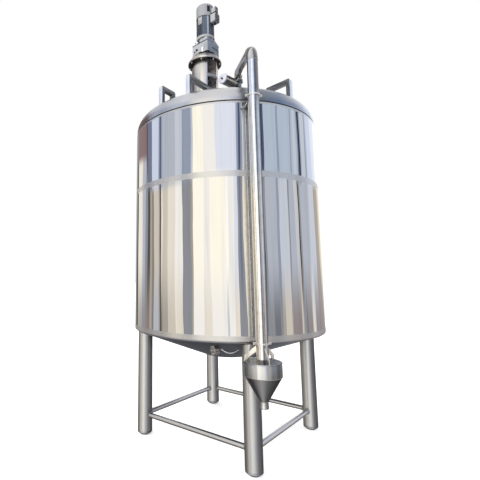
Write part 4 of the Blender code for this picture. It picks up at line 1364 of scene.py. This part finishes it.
@dataclass
class MixerDrive:
    """Mixer drive: pad, lantern with its windows, shaft, flange, gearbox and motor."""

    window: float = 28.0
    wall: float = 0.010
    fins: int = 32
    half: float = 0.090
    boxes: tuple[tuple[str, float, float, float], ...] = (
        ("terminal_box", 0.067, 0.143, 0.012), ("cowl_box", 0.040, 0.137, 0.008))

    def build(self) -> None:
        """Build the drive from the crown upwards."""
        for step in (self.pad, self.lantern, self.shaft, self.flange, self.gearbox, self.side_features,
                     self.adapter, self.motor, self.cowl, self.motor_boxes):
            step()

    @staticmethod
    def spot(front: float, left: float, height: float) -> Vector:
        """Place in front of and to the left of the drive's axis, at a height."""
        return DRIVE_AXIS + DRIVE_WAY * front - beside(DRIVE_WAY) * left + UP * height

    @staticmethod
    def upright(node: str, steps: int, lower: Profile, upper: Profile, axis: Vector = DRIVE_AXIS) -> Solid:
        """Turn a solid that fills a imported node's box.

        Args:
            node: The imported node.
            steps: Steps to a full turn.
            lower: Inset and rise of its lower points.
            upper: Inset and drop of its upper points.
            axis: The axis that it is turned about.

        Returns:
            The solid.
        """
        return Solid.turned(Box(node).profile(lower, upper), axis, steps)

    def pad(self) -> None:
        """Turn the pad and lay its weld on the crown."""
        made = self.upright("mixer_pad", 96, [(0.0, 0.0)], [(0.0, 0.004), (0.004, 0.0)], MIXER_AXIS)
        made.dress("mixer_pad_turned", PAD_SATIN, "mixer_pad")
        weld("mixer_pad_weld", SHAPE.on_crown(MIXER_AXIS, Box("mixer_pad").radius + 0.001, 72), 0.004)

    def wedge(self, azimuth: float, low: float, high: float) -> Solid:
        """Model the wedge that cuts one window.

        Args:
            azimuth: Where the window faces.
            low: Height of its sill.
            high: Height of its top.

        Returns:
            The wedge.
        """
        points = [MIXER_AXIS + UP * low]
        for turn in (-self.window, 0.0, self.window):
            reach = 0.2 / math.cos(math.radians(turn))
            points.append(MIXER_AXIS + outward(azimuth + turn) * reach + UP * low)
        return Solid.slab(points, UP * (high - low))

    def lantern(self) -> None:
        """Turn the lantern, cut its windows, and fit the bearing plate."""
        plate, top = Box("lantern_bearing_plate"), Box("lantern_upper_wall_left").high.z
        outer, low = LANTERN_BOX.radius, LANTERN_BOX.low.z
        inner = outer - self.wall
        profile = [(inner, low), (outer, low), (outer, top), (inner, top), (inner, low)]
        housing = Solid.turned(profile, MIXER_AXIS, 96)
        for sill, lintel in ((LANTERN_BOX.high.z, plate.low.z), (plate.high.z, top + 0.01)):
            for turn in (0.0, 180.0):
                cutter = self.wedge(WINDOW_AZIMUTH + turn, sill, lintel).made
                housing.modify("BOOLEAN", operation="DIFFERENCE", object=cutter)
                bpy.data.objects.remove(cutter)
        walls = [f"lantern_{storey}_wall_{side}" for storey in ("lower", "upper") for side in ("left", "right")]
        housing.soften(0.0015).dress("lantern_housing", LANTERN_SATIN, "lantern_base", *walls)
        low, high = plate.low.z, plate.high.z
        profile = [(0.028, low - 0.012), (0.046, low - 0.012), (0.050, low), (inner - 0.0005, low),
                   (inner - 0.0005, high), (0.028, high), (0.028, low - 0.012)]
        Solid.turned(profile, MIXER_AXIS, 72).dress("bearing_plate_turned", BEARING_SATIN, "lantern_bearing_plate")

    def shaft(self, radius: float = 0.020, low: float = 2.930, high: float = 2.990) -> None:
        """Turn the shaft with its bolted coupling; it moves with the rotor.

        Args:
            radius: The shaft's radius.
            low: Height of the coupling's underside.
            high: Height of the coupling's top.
        """
        box = Box("mixer_shaft")
        wide, middle = box.radius, (low + high) / 2.0
        profile = [(0.0, box.low.z), (radius, box.low.z), (radius, low - 0.012), (radius + 0.006, low - 0.010),
                   (radius + 0.006, low), (wide - 0.002, low), (wide, low + 0.002), (wide, middle - 0.002),
                   (wide - 0.003, middle), (wide, middle + 0.002), (wide, high - 0.002), (wide - 0.002, high),
                   (radius + 0.006, high), (radius + 0.006, high + 0.010), (radius, high + 0.012),
                   (radius, box.high.z), (0.0, box.high.z)]
        made = Solid.turned(profile, MIXER_AXIS, 48)
        made.dress("shaft_and_coupling", DARK_STEEL, "mixer_shaft", body=Body.ROTOR)
        spots = [(spot, way) for height, way in ((low, -UP), (high, UP))
                 for spot in circle(MIXER_AXIS + UP * height, 0.034, steps=6)]
        HexBolt(0.0055, 0.006).place("coupling_bolts", spots, Slot.DARK, Body.ROTOR)

    def flange(self, hub: float = 0.120) -> None:
        """Turn the lantern's flange with painted shade below, bolt it from below, and shade the gearbox spigot's
        foot.

        Args:
            hub: Radius of its hub.
        """
        box = Box("lantern_flange")
        step, outer = box.radius - hub, box.radius - 0.0035
        made = self.upright("lantern_flange", 96, [(0.003, 0.0), (0.0, 0.003), (0.0, 0.014), (0.004, 0.018)],
                            [(step - 0.006, 0.012), (step, 0.008), (step, 0.0)], MIXER_AXIS)
        made.dress("drive_flange", FLANGE_SATIN, "lantern_flange")
        # a thin dark ring under the flange: painted shade
        inner, high, low = LANTERN_BOX.radius + 0.0005, box.low.z, box.low.z - 0.0009
        shade = [(inner, low), (outer, low), (outer, high), (inner, high), (inner, low)]
        Solid.turned(shade, MIXER_AXIS, 96).dress("flange_underside", PAINTED_SHADE_STEEL)
        spots = [(MIXER_AXIS + outward(22.5 + 45.0 * number) * 0.1395 + UP * low, -UP) for number in range(8)]
        HexBolt(0.0062, 0.009).place("flange_bolts", spots)
        foot = MIXER_AXIS + UP * (box.high.z - 0.006)
        route = [foot + outward(-36.0 + 4.0 * number) * (hub + 0.001) for number in range(18)]
        Solid.tube(route, 0.0055, 3).dress("gearbox_spigot_shadow", SHADOW_PAINT)

    def gearbox(self) -> None:
        """Round the gearbox's corners and screw a cover on each of its two far sides."""
        for node, name in (("gearbox", "gearbox_housing"), ("gearbox_head", "gearbox_upper_half")):
            Solid.copied(node).soften(0.003, 3).dress(name, GREY_PAINT, node)
        covers, screws = [], []
        for azimuth in (DRIVE_AZIMUTH + 90.0, DRIVE_AZIMUTH + 180.0):
            way = outward(azimuth)
            centre = DRIVE_AXIS + way * self.half + UP * Box("gearbox").middle.z
            covers.append(Solid.block(centre, (0.124, 0.006, 0.080), azimuth).soften(0.002))
            screws += [(centre + way * 0.003 + beside(way) * x + UP * z, way)
                       for x in (-0.052, 0.052) for z in (-0.030, 0.030)]
        Solid.joined(covers).dress("gearbox_covers", GREY_PAINT)
        HexBolt(0.0055, 0.004).place("gearbox_screws", screws, Slot.GREY)

    def side_features(self) -> None:
        """Detail the sides that show: joint lines, painted shadow, holes, pale strip, ribs, breather cap and end
        cover.
        """
        half, left, turn, joint = self.half, -beside(DRIVE_WAY), DRIVE_AZIMUTH - 90.0, Box("gearbox").high.z
        # the two strips at height 3.267 are painted shadow under the gearbox's base; the other two are joint lines
        lines = (((0.0, half, joint - 0.001), (0.168, 0.0016, 0.0068)),
                 ((0.062, half, 3.267), (0.052, 0.0016, 0.014)), ((half, 0.050, 3.267), (0.0016, 0.070, 0.014)),
                 ((half, -0.030, 3.327), (0.0016, 0.100, 0.0050)))
        lines = [Solid.block(self.spot(*place), size, turn) for place, size in lines]
        Solid.joined(lines).dress("gearbox_joints_and_painted_shadow", SHADOW_PAINT)
        holes = []
        for front, height, radius in ((-0.034, 3.321, 0.012), (-0.058, 3.309, 0.008)):
            hole = [(0.0, 0.0), (radius, 0.0), (radius, 0.0014), (radius * 0.7, 0.0014), (radius * 0.6, 0.0006),
                    (0.0, 0.0006)]
            holes.append(Solid.turned(hole, self.spot(front, half, height), 24, left))
        Solid.joined(holes).dress("gearbox_holes", GASKET)
        strip = Solid.block(self.spot(0.031, half, 3.301), (0.017, 0.003, 0.048), turn).soften(0.0008)
        strip.dress("gearbox_pale_strip", WHITE_CAP)
        tall, short = (0.005, 0.004, 0.060), (0.006, 0.004, 0.026)
        facing = Matrix.Rotation(math.radians(turn), 3, "Z")
        places = [Matrix.LocRotScale(self.spot(front, half, height), facing, size)
                  for fronts, height, size in (((0.052, 0.064, 0.076), 3.330, tall),
                                               ((0.012, 0.030, 0.048), 3.394, short)) for front in fronts]
        sharp = Solid.block(Vector(), (1.0, 1.0, 1.0)).soften(0.0012).repeat(places)
        rounded = Solid.block(self.spot(0.066, half, 3.394), short, turn).soften(0.0012)
        Solid.joined([sharp, rounded]).dress("gearbox_ribs", RING_PAINT)
        seat = self.spot(-0.046, 0.073, joint)
        cap = [(0.0, 0.0), (0.013, 0.0), (0.015, 0.004), (0.015, 0.030), (0.012, 0.035), (0.0, 0.036)]
        Solid.turned(cap, seat, 32).dress("breather_cap", WHITE_CAP)
        mark = [(0.0, 0.0), (0.0075, 0.0), (0.0070, 0.0018), (0.0, 0.0018)]
        Solid.turned(mark, seat + left * 0.0145 + UP * 0.018, 20, left).dress("breather_spot", BLUE_MARK)
        cover = [(0.0, 0.0), (0.036, 0.0), (0.036, 0.003), (0.030, 0.006), (0.0, 0.007)]
        Solid.turned(cover, self.spot(half, -0.028, 3.362), 40, DRIVE_WAY).dress("gearbox_end_cover", GREY_PAINT)

    def adapter(self) -> None:
        """Turn the adapter ring over the gearbox, black as painted shadow, and the motor's end ring; bolt that from
        below.
        """
        # the adapter ring is black to paint the shadow under the motor's end ring
        ring = self.upright("motor_adapter", 56, [(0.0, 0.0), (0.0, 0.006), (0.006, 0.009)], [(0.006, 0.0)])
        ring.dress("adapter_ring_painted_shadow", SHADOW_PAINT, "motor_adapter", slot=Slot.GREY)
        ring = self.upright("motor_flange", 64, [(0.004, 0.0), (0.0, 0.004)], [(0.0, 0.003), (0.003, 0.0)])
        ring.dress("motor_end_ring", RING_PAINT, "motor_flange")
        box = Box("motor_flange")
        spots = circle(DRIVE_AXIS + UP * box.low.z, box.radius - 0.009, steps=4)
        HexBolt(0.0050, 0.006).place("motor_bolts", [(spot, -UP) for spot in spots], Slot.GREY)

    def motor(self, fin_root: float = 0.0022, plate_turn: float = -45.5) -> None:
        """Turn the motor's core, stand fins round it, and fit its bare plate.

        Args:
            fin_root: How far the core is set back between the fins.
            plate_turn: Azimuth that the plate faces.
        """
        made = self.upright("motor_body", 72, [(0.0, 0.0), (0.0, 0.010), (fin_root, 0.013)],
                            [(fin_root, 0.010), (0.004, 0.007), (0.004, 0.0)])
        made.dress("motor_core", SLATE_PAINT, "motor_body")
        box = Box("motor_body")
        fin = Solid.block(Vector((0.0, fin_root - box.radius, 0.0)), (0.0075, 0.0032, box.size.z - 0.024))
        centre = Matrix.Translation(DRIVE_AXIS + UP * box.middle.z)
        turns = [Matrix.Rotation(math.tau * number / self.fins, 4, "Z") for number in range(self.fins)]
        fin.soften(0.0014, 3).repeat([centre @ turn for turn in turns]).dress("motor_fins", SLATE_PAINT)
        place = DRIVE_AXIS + outward(plate_turn) * (box.radius - 0.0012) + UP * (box.high.z - 0.045)
        Solid.block(place, (0.043, 0.0022, 0.073), plate_turn).soften(0.0007).dress("motor_bare_plate", PLATE)

    def cowl(self) -> None:
        """Turn the fan cowl, with its lip, grille slots and screws."""
        box = Box("fan_cowl")
        radius, high = box.radius, box.high.z
        made = self.upright("fan_cowl", 72, [(0.0, 0.0), (0.0, 0.008), (0.0015, 0.010)],
                            [(0.0015, 0.030), *arc((0.0255, 0.024), -0.024, 0.0, 90.0, 8)])
        made.dress("cowl_shell", COWL_PAINT, "fan_cowl")
        slots = [Solid.block(DRIVE_AXIS + outward(360.0 * number / count) * reach + UP * (high - 0.0005),
                             (0.0045, 0.012, 0.002), 360.0 * number / count)
                 for reach, count in ((0.022, 8), (0.040, 14)) for number in range(count)]
        slots.append(Solid.block(DRIVE_AXIS + outward(12.0) * (radius - 0.0012) + UP * (high - 0.063),
                                 (0.027, 0.0050, 0.058), 12.0))
        Solid.joined(slots).soften(0.0005, 1).dress("cowl_openings", GASKET)
        foot = DRIVE_AXIS + UP * (box.low.z + 0.005)
        spots = [(foot + outward(azimuth) * radius, outward(azimuth)) for azimuth in (-60.0, 30.0, 120.0, 210.0)]
        HexBolt(0.0035, 0.003).place("cowl_screws", spots, Slot.GREY)

    def motor_boxes(self) -> None:
        """Model the terminal box, the smaller box above it and a black block of painted shadow in the gap between
        them.
        """
        for node, width, reach, lid in self.boxes:
            # past its reach each box's paint turns dark: painted shade on the lid's face
            paint = Paint(f"{node}_paint", srgb(164, 166, 170), 0.40, dust=srgb(176, 178, 180), reach=reach)
            Solid.copied(node).soften(0.003, 3).dress(f"{node}_case", paint, node)
            self.lid(node, width, reach, lid)
        low = Box("terminal_box").high.z
        gap = Box("cowl_box").low.z - low
        # a black block that fills the gap between the boxes as painted shadow
        gap_shadow = Solid.block(self.spot(0.108, 0.0, low + gap / 2.0), (0.044, 0.052, gap), DRIVE_AZIMUTH)
        gap_shadow.soften(0.0008).dress("box_gap_painted_shadow", SHADOW_PAINT, slot=Slot.GREY)

    def lid(self, node: str, width: float, reach: float, thick: float) -> None:
        """Add a lid's edge line, its screws and a cable gland.

        Args:
            node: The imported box.
            width: Its width.
            reach: How far its lid stands from the drive's axis.
            thick: Thickness of the lid.
        """
        box = Box(node)
        tall = box.size.z
        line = Solid.block(self.spot(reach - thick, 0.0, box.middle.z), (width + 0.0008, 0.0016, tall + 0.0008),
                           DRIVE_AZIMUTH)
        line.soften(0.0003, 1).dress(f"{node}_seal", GASKET)
        spots = [(self.spot(reach, x * (width / 2.0 - 0.008), box.middle.z + z * (tall / 2.0 - 0.008)), DRIVE_WAY)
                 for x in (1.0, -1.0) for z in (-1.0, 1.0)]
        HexBolt(0.0032, 0.002).place(f"{node}_screws", spots, Slot.GREY)
        gland = [(0.0, 0.0), (0.010, 0.0), (0.010, 0.006), (0.0085, 0.008), (0.0085, 0.016), (0.0060, 0.020),
                 (0.0, 0.020)]
        Solid.turned(gland, self.spot(reach - 0.030, 0.0, box.low.z), 24, -UP).dress(f"{node}_gland", GASKET)


# The studio


class Tone(Enum):
    """Shades of the cards that stand around the tank."""

    WHITE = srgb(253, 251, 246)
    CREAM = srgb(252, 246, 229)
    PEARL = srgb(239, 235, 228)
    ICE = srgb(218, 222, 233)
    SKY = srgb(198, 206, 222)
    SAND = srgb(226, 218, 203)
    BEIGE = srgb(200, 192, 178)
    SILVER = srgb(192, 197, 206)
    STEEL = srgb(173, 185, 199)
    ZINC = srgb(174, 179, 189)
    STONE = srgb(164, 157, 149)
    TAUPE = srgb(134, 124, 116)
    ROSE = srgb(142, 134, 134)
    GREY = srgb(138, 140, 145)
    DUSK = srgb(145, 153, 171)
    SLATE = srgb(112, 119, 137)
    ASH = srgb(112, 114, 119)
    NAVY = srgb(74, 84, 110)
    INK = srgb(36, 42, 62)
    CHARCOAL = srgb(82, 80, 78)
    UMBER = srgb(132, 112, 112)
    WINE = srgb(102, 87, 92)


@dataclass(frozen=True)
class Card:
    """An upright card from its azimuth to the next card's; low down it is as half way up, unless told otherwise."""

    start: float
    high: Tone
    middle: Tone
    low: Tone | None = None


T = Tone
CARDS = [Card(*row) for row in (
    (-180, T.GREY, T.GREY), (-160, T.UMBER, T.CHARCOAL), (-153, T.UMBER, T.SAND, T.STONE),
    (-137, T.UMBER, T.ZINC, T.GREY), (-128, T.WINE, T.GREY, T.ROSE), (-123, T.SLATE, T.CHARCOAL, T.TAUPE),
    (-118, T.SLATE, T.STONE), (-113, T.SKY, T.TAUPE), (-109, T.SKY, T.BEIGE, T.ZINC), (-100.5, T.DUSK, T.STONE),
    (-98.7, T.NAVY, T.CHARCOAL), (-95.7, T.DUSK, T.SAND, T.TAUPE), (-93.5, T.ZINC, T.BEIGE, T.STONE),
    (-85, T.ZINC, T.SAND, T.BEIGE), (-74, T.SILVER, T.PEARL, T.SAND), (-63.8, T.DUSK, T.GREY),
    (-53, T.SILVER, T.STONE), (-50.3, T.CREAM, T.CREAM, T.PEARL), (-37, T.PEARL, T.PEARL, T.SAND),
    (-30, T.PEARL, T.CREAM, T.PEARL), (-21.5, T.ICE, T.CREAM, T.PEARL), (-12, T.ICE, T.WHITE, T.SILVER),
    (-9.5, T.ICE, T.PEARL), (-3, T.ICE, T.ICE, T.SAND), (1.2, T.DUSK, T.GREY), (3.8, T.NAVY, T.SLATE, T.GREY),
    (6.1, T.DUSK, T.GREY), (8.5, T.SILVER, T.SAND), (11, T.TAUPE, T.STONE), (15.5, T.GREY, T.TAUPE, T.CHARCOAL),
    (18, T.SILVER, T.SAND, T.BEIGE), (31.5, T.INK, T.INK, T.SLATE), (33.8, T.NAVY, T.GREY),
    (36, T.STEEL, T.ZINC, T.GREY), (42, T.STEEL, T.ZINC, T.ASH), (50, T.STEEL, T.DUSK, T.GREY),
    (53, T.DUSK, T.SILVER, T.STONE), (56, T.STEEL, T.SILVER, T.BEIGE), (65, T.STEEL, T.GREY, T.STONE),
    (67, T.STEEL, T.ZINC, T.ROSE), (71.5, T.DUSK, T.ZINC, T.ROSE), (74, T.STEEL, T.SILVER, T.ROSE),
    (78, T.SILVER, T.BEIGE), (80.3, T.SILVER, T.INK, T.STONE), (82.5, T.STEEL, T.GREY),
    (84.7, T.SLATE, T.ZINC, T.GREY), (86.9, T.INK, T.ZINC, T.ASH), (89, T.DUSK, T.ZINC, T.ROSE),
    (91, T.SILVER, T.ZINC, T.ROSE),
    (99.7, T.DUSK, T.ZINC, T.BEIGE), (102, T.STEEL, T.SILVER, T.SAND), (104, T.SKY, T.SILVER),
    (107, T.SKY, T.SILVER, T.ROSE), (117, T.ICE, T.STONE, T.ROSE), (131, T.WHITE, T.BEIGE, T.ROSE),
    (140, T.WHITE, T.SAND, T.SILVER), (168, T.GREY, T.GREY))]


@dataclass
class Studio:
    """Plain pale room with upright cards, a floor, a soft light and the camera."""

    lens: float = 28.26
    shift: tuple[float, float] = (0.1551, -0.0375)
    eye: tuple[float, float, float] = (-0.7367, -3.1338, 1.2578)
    pitch: float = 98.033
    pan: float = -3.804

    def build(self) -> None:
        """Set up the room, the floor, the light and the camera."""
        bpy.context.scene.view_settings.view_transform = "Standard"
        for step in (self.room, self.floor, self.light, self.camera):
            step()

    @staticmethod
    def cards(sheet: NodeSheet, azimuth: Wire, level: str, most: int = 30) -> Wire:
        """Draw the ring of cards at one level of their tones.

        Args:
            sheet: The world's nodes.
            azimuth: Where a ray points, in degrees.
            level: Name of the tone to take from each card.
            most: Cards to a ramp, which holds few.

        Returns:
            The ring's colour.
        """
        runs = [CARDS[first:first + most] for first in range(0, len(CARDS), most)]
        drawn = None
        for run, end in zip(runs, [run[0].start for run in runs[1:]] + [180.0]):
            first = run[0].start
            stops = [((card.start - first) / (end - first), (getattr(card, level) or card.middle).value)
                     for card in run]
            part = sheet.wire("ValToRGB", {"Fac": (azimuth - first) / (end - first)}, interpolation="CONSTANT",
                              stops=stops)
            drawn = sheet.mix(sheet.maths("GREATER_THAN", azimuth, first), drawn, part) if drawn else part
        return drawn

    def room(self) -> None:
        """Draw the room: white to the camera, soft light on paint, cards in the steel."""
        world = bpy.data.worlds.new("studio_room")
        bpy.context.scene.world = world
        world.use_nodes = True
        sheet = NodeSheet(world.node_tree)
        way = sheet.wire("TexCoord", output="Generated")
        x, y, z = sheet.parts(way)
        azimuth = sheet.maths("ARCTAN2", x, y * -1.0) * math.degrees(1.0)
        azimuth = azimuth + (sheet.noise(way, (0.0, 0.0, 9.0)) - 0.5) * 1.2
        high, middle, low = (self.cards(sheet, azimuth, level) for level in ("high", "middle", "low"))
        ring = sheet.mix(z.step(-0.13, 0.06), low, middle)
        turn = sheet.maths("COSINE", azimuth * math.radians(1.0))
        lift = z * (1.135 - turn * 0.135) - (1.0 - azimuth.step(-128.0, -121.0)) * 0.10
        ring = sheet.mix(lift.step(0.247, 0.285), ring, high)
        ring = sheet.mix(z.step(0.47, 0.66) * 0.9, ring, srgb(214, 212, 208))
        ring = sheet.mix(1.0 - z.step(-0.66, -0.48), ring, srgb(150, 150, 152))
        ring = sheet.mix((1.0 - z.step(-0.46, -0.24)) * y.step(0.0, 0.5), ring, srgb(84, 85, 90))
        glow = (x * -0.80 + y * -0.35 + z * 0.48).step(-0.75, 0.75)
        steel = sheet.wire("Background", {"Color": ring, "Strength": 1.60})
        paint = sheet.wire("Background", {"Color": sheet.mix(glow, (0.10, 0.11, 0.13), (1.62, 1.60, 1.56))})
        backdrop = sheet.wire("Background", {"Color": (1.0, 1.0, 1.0)})
        path = sheet.place("LightPath").outputs
        lit = sheet.wire("MixShader", {0: Wire(sheet, path["Is Glossy Ray"]), 1: paint, 2: steel})
        seen = sheet.wire("MixShader", {0: Wire(sheet, path["Is Camera Ray"]), 1: lit, 2: backdrop})
        sheet.place("OutputWorld", {"Surface": seen})

    @staticmethod
    def floor() -> None:
        """Lay a plain pale floor that the steel doesn't mirror."""
        bpy.ops.object.select_all(action="DESELECT")
        bpy.ops.mesh.primitive_circle_add(vertices=96, radius=60.0, fill_type="NGON", location=(0.0, 0.0, -0.001))
        floor = bpy.context.object
        floor.name = "studio_floor"
        floor.data.materials.append(FLOOR.material())
        floor.visible_glossy = floor.visible_diffuse = False

    @staticmethod
    def light() -> None:
        """Hang one large soft light in front, left of the camera."""
        light = bpy.data.lights.new("soft_key", "AREA")
        light.energy, light.size = 160.0, 4.0
        key = bpy.data.objects.new("soft_key", light)
        bpy.context.scene.collection.objects.link(key)
        key.location = (-4.5, -5.0, 5.5)
        key.rotation_euler = (AXIS + UP * 2.0 - key.location).to_track_quat("-Z", "Y").to_euler()
        key.visible_glossy = False

    def camera(self) -> None:
        """Stand the camera at eye height, a little left of the tank's front."""
        data = bpy.data.cameras.new("photo_camera")
        data.sensor_fit, data.sensor_width, data.lens = "HORIZONTAL", 36.0, self.lens
        data.shift_x, data.shift_y = self.shift
        data.clip_end = 200.0
        camera = bpy.data.objects.new("photo_camera", data)
        bpy.context.scene.collection.objects.link(camera)
        camera.location = self.eye
        camera.rotation_euler = (math.radians(self.pitch), 0.0, math.radians(self.pan))
        bpy.context.scene.camera = camera


def main() -> None:
    """Build every assembly in order."""
    logging.basicConfig(level=logging.INFO, format="%(name)s: %(message)s")
    for assembly in (TankBody(), Stand(), SidePort(), OverflowLine(), Valve(), CrownBars(), MixerDrive(), Studio()):
        assembly.build()
        LOG.info("%s done", type(assembly).__name__)


if __name__ == "__main__":
    main()
